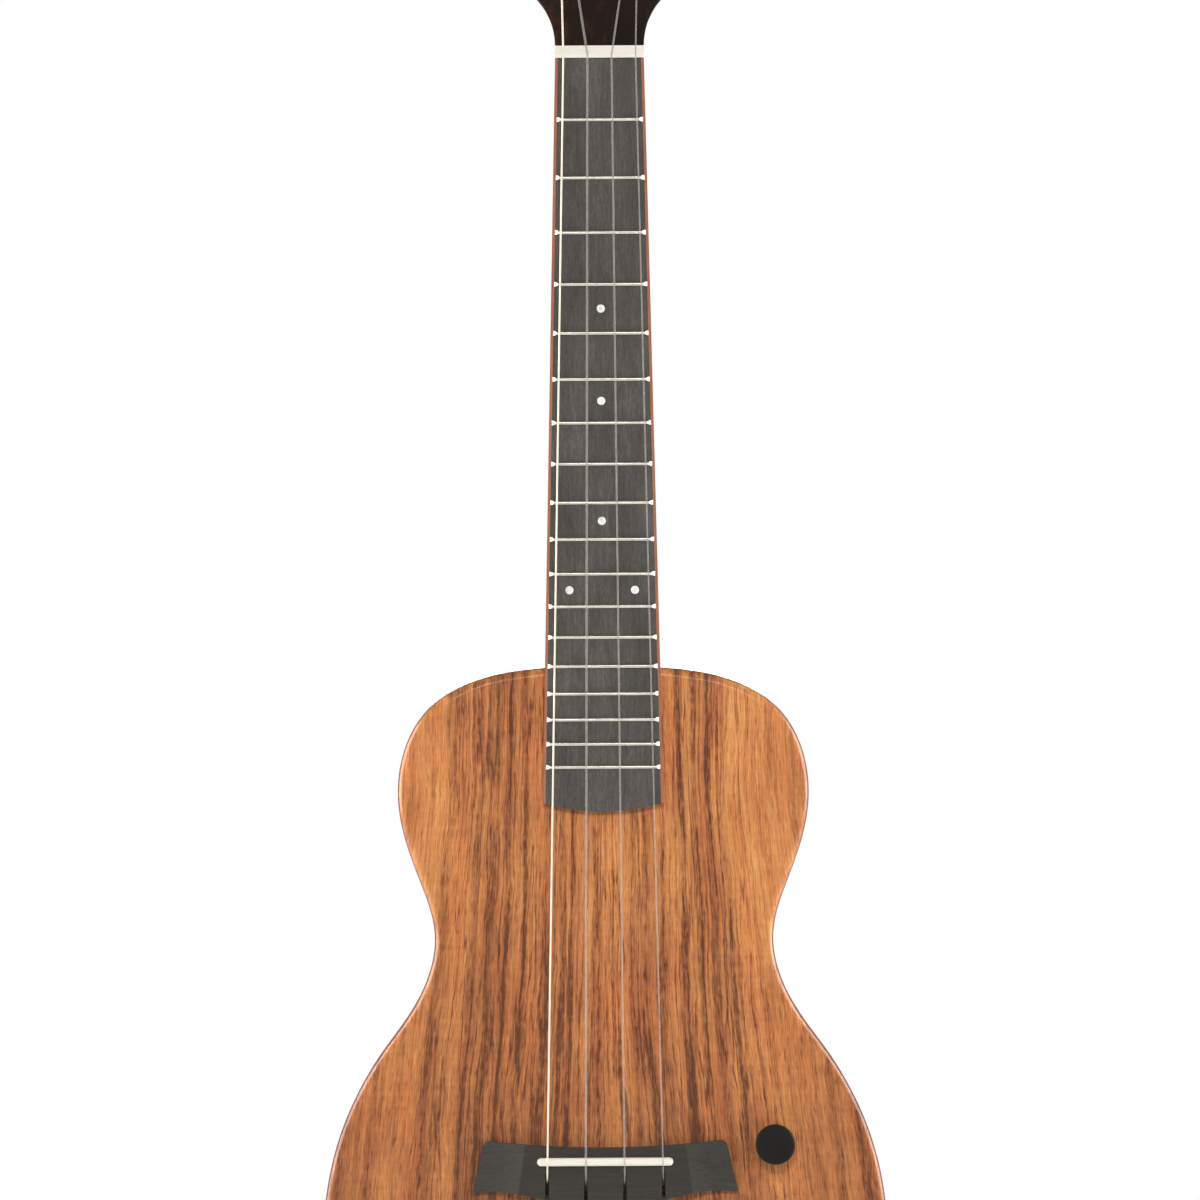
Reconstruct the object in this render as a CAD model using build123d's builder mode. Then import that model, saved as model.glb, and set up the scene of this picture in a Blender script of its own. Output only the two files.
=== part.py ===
from build123d import *
import math
import os

# Electric tenor ukulele with a chambered body, a solid cap and no soundhole.
# Frame: the origin is on the centre line at the nut's front edge, in the plane of the body's face.
# +Z runs up along the neck to the headstock, +X is the treble side, and the face looks towards -Y.
# A height h is measured out of the face plane, so it lies at y = -h.

# ---- Scale and strings ----
SCALE = 431.8
FRET_COUNT = 18
SADDLE_Z = -434.4
STRING_NAMES = ("g", "c", "e", "a")
STRING_RADIUS = {"g": 0.40, "c": 0.475, "e": 0.40, "a": 0.325}
STRING_AT_NUT = {"g": -14.2, "c": -4.75, "e": 4.75, "a": 14.2}
STRING_AT_SADDLE = {"g": -22.7, "c": -7.6, "e": 7.6, "a": 22.7}
SADDLE_BEND = 4.0
NUT_BEND = 6.0
STRING_H_SADDLE = 11.2
STRING_H_NUT = 7.35
STRING_Z_NUT = 1.0
KNOT_H = 3.4
KNOT_RADIUS = 1.4
KNOT_INSET = 2.2
GROOVE_EXTRA = 0.02

# ---- Body ----
BODY_TOP = -239.6
BODY_TAIL = -548.0
BODY_DEPTH = 40.0
CAP_THICKNESS = 3.5
ROUNDOVER = 3.2
BODY_CROWN = -238.6
LAND_DEPTH = 36.0
LAND_LENGTH = 6.4
HALF_OUTLINE = [
    (24.0, -240.0),
    (47.3, -243.9),
    (70.3, -257.6),
    (81.0, -288.4),
    (74.4, -319.0),
    (66.7, -345.3),
    (77.6, -377.6),
    (87.9, -391.8),
    (103.1, -420.2),
    (109.8, -446.0),
    (110.9, -464.0),
    (84.0, -521.0),
]
CHAMBER_FLOOR = 34.0
CHAMBER_CORNER = 6.0
CHAMBER_UPPER = [(30, -254), (58, -262), (70, -288), (64, -316), (56, -345)]
BASS_LOWER = [(70, -385), (92, -420), (100, -462), (84, -506), (52, -530), (30, -530)]
TREBLE_LOWER = [(66, -376), (70, -391), (30, -391)]
CAVITY_CORNERS = [(-16, -520), (44, -520), (84, -478), (84, -408), (10, -408), (-16, -440)]
CAVITY_CORNER_RADIUS = 8.0
CAVITY_CEILING = 9.0
COVER_LEDGE = 6.0
COVER_THICKNESS = 2.0
COVER_SCREWS = 6
COVER_SCREW_SHANK = 1.2
COVER_SCREW_HEAD = 2.4
COVER_SCREW_LENGTH = 12.0
COVER_PLAY = 0.15
HOLE_PLAY = 0.1
JACK_HOLE_PLAY = 0.2
# degrees: the hole is reamed from inside, so it widens inwards
JACK_HOLE_TAPER = 0.4

# ---- Neck and headstock ----
NUT_HALF = 17.5
BOARD_TAPER = 0.0217
BOARD_THICKNESS = 5.5
BOARD_END_CORNER = -293.5
BOARD_END_CENTRE = -296.7
BINDING = 1.1
FRET_WIDTH = 1.8
FRET_HEIGHT = 1.0
FRET_BEVEL = 1.5
TANG_WIDTH = 0.5
TANG_DEPTH = 1.5
SLOT_WIDTH = 0.55
SLOT_DEPTH = 1.6
DOT_RADIUS = 1.6
DOT_DEPTH = 1.2
DOUBLE_DOT_X = 12.9
SIDE_DOT_RADIUS = 0.8
NUT_LENGTH = 4.8
NUT_HEIGHT = 7.6
TENON_HALF = 11.0
TENON_END = -262.0
TENON_DEPTH = 30.0
ROD_WIDTH = 3.0
ROD_DEPTH = 5.8
ROD_Z = (-235.0, -10.0)
NUT_BACK_DROP = 0.8
NUT_EDGE_RADIUS = 0.5
TANG_GAP = 0.1
ROD_PLAY = 0.2
HEAD_TILT = 12.0
OVERLAY = 2.2
OVERLAY_OVERRUN = 2.0
HEAD_WOOD = 12.5
HEAD_LENGTH = 113.0
FLARE_RADIUS = 30.0
FLARE_ANGLE = 38.0
SHOULDER_REACH = 11.5
SHOULDER_RADIUS = 4.0
CROWN_CORNER = (32.5, 103.0)
CROWN_CORNER_RADIUS = 4.0
CROWN_CUSP = (13.0, 110.5)
SHAFT_DEPTH_NUT = 13.5
SHAFT_DEPTH_HEEL = 15.35
SHAFT_END = -190.0
# how far down its side and how far across its back a section of the shaft is full, from 0 to 1
SHAFT_BELLY = 0.62
SHAFT_CORNER = 0.45
# z, depth, belly and corner of the sections of the heel, from the shaft down to the body
HEEL = [
    (SHAFT_END, SHAFT_DEPTH_HEEL, SHAFT_BELLY, SHAFT_CORNER),
    (-205.0, 15.8, SHAFT_BELLY, SHAFT_CORNER),
    (-220.0, 18.6, 0.64, 0.46),
    (-231.0, 25.5, 0.70, 0.50),
    (BODY_TOP, LAND_DEPTH, 0.78, 0.55),
]
CARVE_END = 24.0
CARVE_LEVELS = (0, 6, 12, 18, CARVE_END)
CARVE_SWELL = 0.6

# ---- Bridge ----
BRIDGE_TOP_CORNER = (47.6, -426.1)
BRIDGE_TOP_CENTRE = -429.0
BRIDGE_LOW_CORNER = (52.6, -447.2)
BRIDGE_WAIST = (40.0, -446.3)
REAR_AT_STRING = {"g": -449.6, "c": -451.7, "e": -451.7, "a": -449.6}
BRIDGE_LOW_CENTRE = -452.0
BRIDGE_HEIGHT = 7.8
BRIDGE_TOP_RADIUS = 2.5
BRIDGE_TIP_RADIUS = 1.2
WING_START = (32.8, -438.0)
WING_LENGTH = 24.0
WING_SLANT = 3.5
WING_MIDDLE = (8.0, 4.7)
WING_TIP_HEIGHT = 3.2
SADDLE_LENGTH = 53.6
SADDLE_SLOT = 3.3
SADDLE_THICKNESS = 3.2
SADDLE_TOP = 10.8
SADDLE_TOP_RADIUS = 1.2
SADDLE_FOOT = 2.2
SADDLE_PLAY = 0.1
PIEZO_FOOT = 1.2
PIEZO_INSET = 0.4
TIE_SLOT_WIDTH = 1.4
TIE_SLOT_LEAD = 1.4
TIE_HOLE_RADIUS = 1.8
TIE_HOLE_REACH = 3.0
LEAD_HOLE = (24.5, SADDLE_Z)
LEAD_HOLE_RADIUS = 1.5

# ---- Tuners ----
# name: side of the headstock, distance of the post from the centre line, and up the headstock
TUNERS = {"g": (-1, 18.1, 40.0), "c": (-1, 20.5, 82.0), "e": (1, 20.5, 82.0), "a": (1, 18.1, 40.0)}
POST_RADIUS = 3.0
POST_WAIST = 2.6
POST_CAP = 2.9
POST_TOP = 12.0
POST_WAIST_LEVELS = (3.6, 8.2)
POST_TAPER = 0.6
POST_HOLE_LEVEL = 9.8
POST_HOLE_RADIUS = 0.9
POST_BORE = 1.15
POST_BORE_DEPTH = 2.0
COIL_LOW = 4.2
COIL_TURNS = 4
STRING_LEVEL = 4.6
STRING_STOP = 3.0
BUSHING_BORE = 3.06
BUSHING_SLEEVE = 4.0
BUSHING_FLANGE = 5.2
BUSHING_LENGTH = 8.0
BUSHING_TOP = 1.6
BUSHING_BEVEL = 0.8
HEAD_BACK = -(OVERLAY + HEAD_WOOD)
PLATE_THICKNESS = 1.0
MODULE = 0.7
GEAR_TEETH = 14
GEAR_PITCH_RADIUS = MODULE * GEAR_TEETH / 2
GEAR_OUTER = 5.5
GEAR_ROOT = 4.15
GEAR_BORE = 2.0
GEAR_TOP_S = -17.8
GEAR_FACE = 3.0
TOOTH_FOOT = 4.0
TOOTH_FOOT_HALF = 0.6
TOOTH_TIP_HALF = 0.225
GEAR_SCREW_SHANK = 1.1
GEAR_SCREW_LENGTH = 4.0
GEAR_SCREW_HEAD = 3.0
GEAR_SCREW_HEIGHT = 1.5
GEAR_SCREW_CHAMFER = 0.5
SCREW_SLOT_WIDTH = 0.7
SCREW_SLOT_DEPTH = 0.6
WORM_CENTRE = 7.4
WORM_S = GEAR_TOP_S - GEAR_FACE / 2
WORM_PITCH = math.pi * MODULE
WORM_PITCH_RADIUS = WORM_CENTRE - GEAR_PITCH_RADIUS
WORM_CORE = 1.7
WORM_CREST = 3.0
WORM_TURNS = 4
WORM_HALF = 5.8
WORM_SHAFT = 1.5
WORM_SHAFT_END = -7.9
WORM_BORE = 1.55
THREAD_ROOT = 1.5
THREAD_FOOT_HALF = 0.66
THREAD_TIP_HALF = 0.225
COLLAR_RADIUS = 1.95
COLLAR_LENGTH = 0.65
EAR_INNER = 6.0
EAR_OUTER = 7.2
EAR_RADIUS = 3.2
BUTTON_U = 17.5
BUTTON_LENGTH = 12.0
BUTTON_WIDTH = 15.0
BUTTON_THICKNESS = 6.5
BUTTON_EDGE_RADIUS = 2.2
BUTTON_COLLAR_RADIUS = 2.6
BUTTON_COLLAR_START = BUTTON_U - 2.5
BUTTON_COLLAR_LENGTH = 5.0
BUTTON_BORE_DEPTH = 9.6
BUTTON_PLAY = 0.02
PLATE_SIZE = (17.0, 19.0)
PLATE_CORNER = 2.0
PLATE_SHIFT = 1.2
PLATE_SCREW = (6.2, 5.2)
TUNER_SCREW_HEAD = 1.9
TUNER_SCREW_SHANK = 1.0
TUNER_SCREW_LENGTH = 8.0
TUNER_SCREW_HEIGHT = 1.0

# ---- Controls and electronics ----
POT_X = 67.0
POT_Z = -428.0
POT_RECESS_RADIUS = 13.0
POT_RECESS_CEILING = 5.0
POT_CASE_RADIUS = 8.2
POT_CASE_DEPTH = 12.5
POT_BUSHING_RADIUS = 3.5
POT_BUSHING_TOP = 4.0
POT_BORE = 3.05
POT_BORE_END = -8.3
POT_LUG_SPACING = 3.0
POT_LUG_LEVEL = -11.2
POT_LUG_REACH = 3.6
POT_LUG_SIZE = (4.4, 1.6)
POT_LUG_THICKNESS = 0.6
POT_WASHER_RADIUS = 5.0
POT_WASHER_THICKNESS = 0.5
POT_NUT_HALF = 5.0
POT_NUT_START = 0.6
POT_NUT_THICKNESS = 2.2
POT_SHAFT = 3.0
POT_SHAFT_FOOT = -8.0
POT_SHAFT_TOP = 11.2
POT_SHAFT_BEVEL = 0.4
KNOB_RADIUS = 7.75
KNOB_FOOT = 0.8
KNOB_TOP = 12.4
KNOB_EDGE_RADIUS = 1.1
KNOB_HOLLOW_RADIUS = 6.4
KNOB_HOLLOW_TOP = 4.6
KNOB_PLAY = 0.02
KNOB_GAP = 0.1
FIXING_PLAY = 0.05
JACK_H = -21.75
PLUG_BORE = 3.25
JACK_THREAD = 4.8
JACK_SEAT = 0.1
JACK_FLOOR = CAVITY_CORNERS[0][1] - BODY_TAIL + JACK_SEAT
PLUG_DEPTH = 24.0
JACK_SHELL = (33.0, 48.0)
JACK_SHELL_RADIUS = 6.5
JACK_LUG_X = 1.6
JACK_LUG_SIZE = (0.6, 2.2)
JACK_LUG_LENGTH = 6.0
JACK_THREAD_END = -10.0
JACK_WASHER_RADIUS = 8.5
JACK_WASHER_THICKNESS = 0.7
JACK_NUT_HALF = 6.5
JACK_NUT_GAP = 0.1
JACK_NUT_THICKNESS = 3.5
STRAP_END = -13.0
PREAMP_SIZE = (36.0, 24.0)
PREAMP_CENTRE = (31.0, -428.0)
PREAMP_TOP_H = -14.0
PREAMP_SHEET = 1.6
PREAMP_CORNER = 1.5
PILLAR_RADIUS = 2.0
PILLAR_INSET = 3.0
CHIP_SIZE = (9.0, 4.0)
CHIP_SPOT = (33.0, -427.0)
CHIP_HEIGHT = 1.8
CAPACITOR_SPOTS = [(22.0, -422.0), (22.0, -429.0), (43.0, -420.0)]
CAPACITOR_RADIUS = 2.5
CAPACITOR_HEIGHT = 6.0
SOCKET_SPOTS = [(31.0, -437.0), (40.0, -437.0)]
SOCKET_SIZE = (5.0, 3.0)
SOCKET_HEIGHT = 4.0
BATTERY_SIZE = (48.5, 26.5)
BATTERY_HEIGHT = 17.5
BATTERY_CORNER = 2.0
BATTERY_CENTRE = (46.0, -461.5)
TERMINAL_OFFSET = 6.35
TERMINAL_RADIUS = 2.8
TERMINAL_SOCKET = 4.0
TERMINAL_LENGTH = 2.2
SNAP_GAP = 0.4
SNAP_SIZE = (12.5, 25.5)
SNAP_CORNER = 3.0
SNAP_THICKNESS = 5.0
SNAP_PLAY = 0.05
WIRE_RADIUS = 0.7
LEAD_RADIUS = 1.0


def front(height):
    """The plane at one height over the face, with local x along X and local y along Z."""
    return Plane.XZ.offset(height)


def fret_z(number):
    """The place of one fret along the scale."""
    return -(SCALE - SCALE / 2 ** (number / 12))


def board_half(z):
    """Half the width of the fretboard, with its binding."""
    return NUT_HALF - BOARD_TAPER * z


TILT_COS = math.cos(math.radians(HEAD_TILT))
TILT_SIN = math.sin(math.radians(HEAD_TILT))
# the headstock's face: local x across, local y up along it, local z out of it
head = Plane(
    origin=(0, -OVERLAY * TILT_COS, NUT_LENGTH + OVERLAY * TILT_SIN),
    x_dir=(1, 0, 0),
    z_dir=(0, -TILT_COS, TILT_SIN),
)
back = Plane(origin=(0, BODY_DEPTH, 0), x_dir=(-1, 0, 0), z_dir=(0, 1, 0))


def head_point(x, t, s):
    """A point of the headstock: across, up along its face, and out of its face."""
    return head.from_local_coords((x, t, s))


# =====================================================================================
# Strings: their tubes are made first, because the nut and the saddle are grooved by them
# =====================================================================================


def string_points(name):
    """Knot, saddle crown, nut edge and the end beside the post, on the string's centre line."""
    side, post_x, post_t = TUNERS[name]
    nut = Vector(STRING_AT_NUT[name], -STRING_H_NUT, STRING_Z_NUT)
    crown = Vector(STRING_AT_SADDLE[name], -STRING_H_SADDLE, SADDLE_Z)
    fan = (crown.X - nut.X) / (nut.Z - crown.Z)
    knot_z = REAR_AT_STRING[name] + KNOT_INSET
    knot = Vector(crown.X + fan * (crown.Z - knot_z), -KNOT_H, knot_z)
    winding = POST_WAIST + STRING_RADIUS[name]
    start = head.to_local_coords(nut)
    to_post = Vector(side * post_x - start.X, post_t - start.Y, 0)
    swing = side * math.degrees(math.asin(winding / to_post.length))
    heading = to_post.normalized().rotate(Axis.Z, swing)
    reach = math.sqrt(to_post.length**2 - winding**2) - STRING_STOP
    end = Vector(start.X, start.Y, 0) + heading * reach
    return knot, crown, nut, head_point(end.X, end.Y, STRING_LEVEL)


def make_string(name, radius):
    """One string from its knot in the bridge to the post."""
    points = string_points(name)
    with BuildPart() as tube:
        with BuildLine():
            path = FilletPolyline(*points, radius=[SADDLE_BEND, NUT_BEND])
        with BuildSketch(Plane(path @ 0, z_dir=path % 0)):
            Circle(radius)
        sweep(path=path)
        with Locations(points[0]):
            Sphere(KNOT_RADIUS)
    return tube


for string_name in STRING_NAMES:
    string = make_string(string_name, STRING_RADIUS[string_name])
    string.part.label = "string_" + string_name
    export_step(string.part, f"parts/string_{string_name}.step")


def cut_string_grooves():
    """Cut the four string grooves out of the part that is being made."""
    for name in STRING_NAMES:
        groove = make_string(name, STRING_RADIUS[name] + GROOVE_EXTRA)
        add(groove.part, mode=Mode.SUBTRACT)


# =====================================================================================
# Body
# =====================================================================================

bass_outline = [(-x, z) for x, z in reversed(HALF_OUTLINE)]
# the curve starts and ends at the last corner of the lower bout, where it bends least
outline_points = [HALF_OUTLINE[-1], (0, BODY_TAIL), *bass_outline, (0, BODY_CROWN), *HALF_OUTLINE[:-1]]

with BuildSketch() as body_face:
    with BuildLine():
        Spline(*outline_points, periodic=True)
    make_face()
    # flat across the joint with the heel
    with Locations((0, BODY_TOP)):
        Rectangle(4 * NUT_HALF, 4 * NUT_HALF, align=(Align.CENTER, Align.MIN), mode=Mode.SUBTRACT)

# square land under the fretboard, where the edge isn't rounded
with BuildSketch() as land_face:
    with Locations((0, BODY_TOP)):
        Rectangle(2 * board_half(BODY_TOP), LAND_LENGTH, align=(Align.CENTER, Align.MAX))


def chamber(side, lower_corners):
    """The face of one tone chamber, from the upper bout down to its own lower corners."""
    corners = [(side * x, z) for x, z in CHAMBER_UPPER + lower_corners]
    with BuildSketch() as outline:
        with BuildLine():
            FilletPolyline(*corners, radius=CHAMBER_CORNER, close=True)
        make_face()
    return outline.sketch


with BuildSketch() as cavity_face:
    with BuildLine():
        FilletPolyline(*CAVITY_CORNERS, radius=CAVITY_CORNER_RADIUS, close=True)
    make_face()

with BuildSketch() as cover_face:
    add(cavity_face.sketch)
    offset(amount=COVER_LEDGE)

with BuildSketch() as cover_screw_ring:
    add(cavity_face.sketch)
    offset(amount=COVER_LEDGE / 2)

screw_ring = cover_screw_ring.face().outer_wire()
COVER_SCREW_SPOTS = [screw_ring.position_at((i + 0.5) / COVER_SCREWS) for i in range(COVER_SCREWS)]

with BuildPart() as body_core:
    with BuildSketch(front(-BODY_DEPTH)):
        add(body_face.sketch)
    extrude(amount=BODY_DEPTH - CAP_THICKNESS)
    fillet(faces().sort_by(Axis.Y)[-1].edges(), ROUNDOVER)
    with BuildSketch(front(-LAND_DEPTH)):
        add(land_face.sketch)
    extrude(amount=LAND_DEPTH - CAP_THICKNESS)
    # tone chambers, open under the cap
    with BuildSketch(front(-CHAMBER_FLOOR)):
        add(chamber(-1, BASS_LOWER))
        add(chamber(1, TREBLE_LOWER))
    extrude(amount=CHAMBER_FLOOR - CAP_THICKNESS, mode=Mode.SUBTRACT)
    # neck mortise
    with BuildSketch(front(-TENON_DEPTH)):
        with Locations((0, (BODY_TOP + TENON_END) / 2)):
            Rectangle(2 * TENON_HALF, BODY_TOP - TENON_END)
    extrude(amount=TENON_DEPTH, mode=Mode.SUBTRACT)
    # control cavity, its recess for the pot, and the ledge for the cover
    with BuildSketch(front(-BODY_DEPTH)):
        add(cavity_face.sketch)
    extrude(amount=BODY_DEPTH - CAVITY_CEILING, mode=Mode.SUBTRACT)
    with BuildSketch(front(-CAVITY_CEILING)):
        with Locations((POT_X, POT_Z)):
            Circle(POT_RECESS_RADIUS)
    extrude(amount=CAVITY_CEILING - POT_RECESS_CEILING, mode=Mode.SUBTRACT)
    with BuildSketch(front(-BODY_DEPTH)):
        add(cover_face.sketch)
    extrude(amount=COVER_THICKNESS, mode=Mode.SUBTRACT)
    # holes for the pot's bushing, the pickup's lead, the jack and the cover's screws
    with BuildSketch(front(-CAVITY_CEILING)):
        with Locations((POT_X, POT_Z)):
            Circle(POT_BUSHING_RADIUS + HOLE_PLAY)
        with Locations(LEAD_HOLE):
            Circle(LEAD_HOLE_RADIUS)
    extrude(amount=CAVITY_CEILING, mode=Mode.SUBTRACT)
    with BuildSketch(Plane(origin=(0, -JACK_H, BODY_TAIL - 1), z_dir=(0, 0, 1))):
        Circle(JACK_THREAD + JACK_HOLE_PLAY)
    extrude(amount=CAVITY_CORNERS[0][1] - BODY_TAIL + 2, taper=-JACK_HOLE_TAPER, mode=Mode.SUBTRACT)
    with BuildSketch(front(-BODY_DEPTH + COVER_THICKNESS)):
        with Locations(*COVER_SCREW_SPOTS):
            Circle(COVER_SCREW_SHANK)
    extrude(amount=COVER_SCREW_LENGTH, mode=Mode.SUBTRACT)
body_core.part.label = "body_core"
export_step(body_core.part, "parts/body_core.step")

with BuildPart() as body_cap:
    with BuildSketch(front(-CAP_THICKNESS)):
        add(body_face.sketch)
    extrude(amount=CAP_THICKNESS)
    fillet(faces().sort_by(Axis.Y)[0].edges(), ROUNDOVER)
    with BuildSketch(front(-CAP_THICKNESS)):
        add(land_face.sketch)
    extrude(amount=CAP_THICKNESS)
    with BuildSketch(front(0)):
        with Locations((0, (BODY_TOP + TENON_END) / 2)):
            Rectangle(2 * TENON_HALF, BODY_TOP - TENON_END)
        with Locations((POT_X, POT_Z)):
            Circle(POT_BUSHING_RADIUS + HOLE_PLAY)
        with Locations(LEAD_HOLE):
            Circle(LEAD_HOLE_RADIUS)
    extrude(amount=-CAP_THICKNESS, mode=Mode.SUBTRACT)
body_cap.part.label = "body_cap"
export_step(body_cap.part, "parts/body_cap.step")

with BuildPart() as cavity_cover:
    with BuildSketch(front(-BODY_DEPTH)):
        add(cover_face.sketch)
        offset(amount=-COVER_PLAY, mode=Mode.REPLACE)
    extrude(amount=COVER_THICKNESS)
    with Locations(*[back.from_local_coords((-spot.X, spot.Y, 0)) for spot in COVER_SCREW_SPOTS]):
        Cone(COVER_SCREW_SHANK, COVER_SCREW_HEAD, COVER_THICKNESS, rotation=(-90, 0, 0),
             align=(Align.CENTER, Align.CENTER, Align.MAX), mode=Mode.SUBTRACT)
cavity_cover.part.label = "cavity_cover"
export_step(cavity_cover.part, "parts/cavity_cover.step")


def turned(*profile):
    """A piece turned about Z from its half profile of (radius, height) points."""
    with BuildPart() as piece:
        with BuildSketch(Plane.XZ):
            with BuildLine():
                Polyline(*profile, close=True)
            make_face()
        revolve(axis=Axis.Z)
    return piece.part


def cross_screw(profile, cross):
    """A cross-head screw, its head's top at z = 0 and its shank along -Z."""
    with BuildPart() as piece:
        add(turned((0, 0), *profile))
        with BuildSketch():
            Rectangle(cross, cross * 0.22)
            Rectangle(cross * 0.22, cross)
        extrude(amount=-cross * 0.3, mode=Mode.SUBTRACT)
    return piece.part


cover_screw_profile = [
    (COVER_SCREW_HEAD, 0),
    (COVER_SCREW_SHANK, -COVER_THICKNESS),
    (COVER_SCREW_SHANK, -COVER_SCREW_LENGTH + 2),
    (0, -COVER_SCREW_LENGTH),
]
with BuildPart() as cover_screws:
    for spot in COVER_SCREW_SPOTS:
        seat = Plane(origin=(spot.X, BODY_DEPTH, spot.Y), z_dir=(0, 1, 0))
        add(cross_screw(cover_screw_profile, COVER_SCREW_HEAD * 1.3).moved(seat.location))
cover_screws.part.label = "cover_screws"
export_step(cover_screws.part, "parts/cover_screws.step")

# =====================================================================================
# Bridge, saddle and pickup
# =====================================================================================

with BuildSketch() as saddle_slot:
    with Locations((0, SADDLE_Z)):
        SlotOverall(SADDLE_LENGTH, SADDLE_SLOT)

with BuildPart() as bridge:
    with BuildSketch(front(0)) as bridge_face:
        with BuildLine():
            x_top, z_top = BRIDGE_TOP_CORNER
            x_low, z_low = BRIDGE_LOW_CORNER
            ThreePointArc((-x_top, z_top), (0, BRIDGE_TOP_CENTRE), (x_top, z_top))
            Line((x_top, z_top), (x_low, z_low))
            Line((-x_top, z_top), (-x_low, z_low))
            rear = [
                BRIDGE_WAIST,
                (STRING_AT_SADDLE["a"], REAR_AT_STRING["a"]),
                (STRING_AT_SADDLE["e"], REAR_AT_STRING["e"]),
            ]
            mirrored_rear = [(-x, z) for x, z in reversed(rear)]
            Spline((x_low, z_low), *rear, (0, BRIDGE_LOW_CENTRE), *mirrored_rear, (-x_low, z_low))
        make_face()
        fillet(vertices().sort_by(Axis.Y)[-2:], BRIDGE_TOP_RADIUS)
        fillet(vertices().sort_by(Axis.X)[-1], BRIDGE_TIP_RADIUS)
        fillet(vertices().sort_by(Axis.X)[0], BRIDGE_TIP_RADIUS)
    extrude(amount=BRIDGE_HEIGHT)
    # wings, scooped down from a slanted shoulder line to a thin tip
    for side in (-1, 1):
        shoulder = Plane(
            origin=(side * WING_START[0], 0, WING_START[1]),
            x_dir=(side * WING_LENGTH, 0, WING_SLANT),
            z_dir=(WING_SLANT, 0, -side * WING_LENGTH),
        )
        with BuildSketch(shoulder):
            with BuildLine():
                scoop = ThreePointArc((0, BRIDGE_HEIGHT), WING_MIDDLE, (WING_LENGTH, WING_TIP_HEIGHT))
                Polyline(scoop @ 1, (WING_LENGTH, 2 * BRIDGE_HEIGHT), (0, 2 * BRIDGE_HEIGHT), scoop @ 0)
            make_face()
        extrude(amount=WING_LENGTH, both=True, mode=Mode.SUBTRACT)
    # saddle slot, with room for the pickup at its foot
    with BuildSketch(front(PIEZO_FOOT)):
        add(saddle_slot.sketch)
    extrude(amount=BRIDGE_HEIGHT, mode=Mode.SUBTRACT)
    with BuildSketch(front(0)):
        with Locations(LEAD_HOLE):
            Circle(LEAD_HOLE_RADIUS)
    extrude(amount=PIEZO_FOOT, mode=Mode.SUBTRACT)
    # tie slots, open to the rear, each with a wider hole for its knot
    for name in STRING_NAMES:
        knot_place, crown_place = string_points(name)[:2]
        slope = (STRING_H_SADDLE - KNOT_H) / (crown_place.Z - knot_place.Z)
        slot_start = SADDLE_Z - (STRING_H_SADDLE - BRIDGE_HEIGHT) / slope + TIE_SLOT_LEAD
        behind = BRIDGE_LOW_CENTRE - 1
        with BuildSketch(front(KNOT_H)):
            with Locations((knot_place.X, slot_start)):
                Rectangle(TIE_SLOT_WIDTH, slot_start - behind, align=(Align.CENTER, Align.MAX))
        extrude(amount=BRIDGE_HEIGHT, mode=Mode.SUBTRACT)
        with BuildSketch(Plane(origin=(knot_place.X, -KNOT_H, behind), z_dir=(0, 0, 1))):
            Circle(TIE_HOLE_RADIUS)
        extrude(amount=knot_place.Z + TIE_HOLE_REACH - behind, mode=Mode.SUBTRACT)
bridge.part.label = "bridge"
export_step(bridge.part, "parts/bridge.step")

with BuildPart() as saddle:
    with BuildSketch(front(SADDLE_FOOT)):
        with Locations((0, SADDLE_Z)):
            SlotOverall(SADDLE_LENGTH - SADDLE_PLAY, SADDLE_THICKNESS)
    extrude(amount=SADDLE_TOP - SADDLE_FOOT)
    fillet(faces().sort_by(Axis.Y)[0].edges(), SADDLE_TOP_RADIUS)
    cut_string_grooves()
saddle.part.label = "saddle"
export_step(saddle.part, "parts/saddle.step")

with BuildPart() as saddle_pickup:
    with BuildSketch(front(PIEZO_FOOT)):
        with Locations((0, SADDLE_Z)):
            SlotOverall(SADDLE_LENGTH - PIEZO_INSET, SADDLE_THICKNESS - PIEZO_INSET)
    extrude(amount=SADDLE_FOOT - PIEZO_FOOT)
saddle_pickup.part.label = "saddle_pickup"
export_step(saddle_pickup.part, "parts/saddle_pickup.step")

# =====================================================================================
# Fretboard, nut and neck
# =====================================================================================

NUT_END_HALF = board_half(0)
BOARD_END_HALF = board_half(BOARD_END_CORNER)

with BuildPart() as fretboard:
    with BuildSketch(front(0)):
        with BuildLine():
            inner_nut = NUT_END_HALF - BINDING
            end_corner = (BOARD_END_HALF - BINDING, BOARD_END_CORNER)
            bass_corner = (-end_corner[0], BOARD_END_CORNER)
            Polyline(bass_corner, (-inner_nut, 0), (inner_nut, 0), end_corner)
            ThreePointArc(bass_corner, (0, BOARD_END_CENTRE), end_corner)
        make_face()
    extrude(amount=BOARD_THICKNESS)
    with BuildSketch(front(BOARD_THICKNESS)):
        for number in range(1, FRET_COUNT + 1):
            with Locations((0, fret_z(number))):
                Rectangle(3 * NUT_END_HALF, SLOT_WIDTH)
    extrude(amount=-SLOT_DEPTH, mode=Mode.SUBTRACT)
    with BuildSketch(front(BOARD_THICKNESS)) as dot_spots:
        for low in (4, 6, 9):
            with Locations((0, (fret_z(low) + fret_z(low + 1)) / 2)):
                Circle(DOT_RADIUS)
        for x in (-DOUBLE_DOT_X, DOUBLE_DOT_X):
            with Locations((x, (fret_z(11) + fret_z(12)) / 2)):
                Circle(DOT_RADIUS)
    extrude(amount=-DOT_DEPTH, mode=Mode.SUBTRACT)
fretboard.part.label = "fretboard"
export_step(fretboard.part, "parts/fretboard.step")

SIDE_DOTS = [(low, 0) for low in (4, 6, 9)] + [(11, -2.2), (11, 2.2)]


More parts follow.
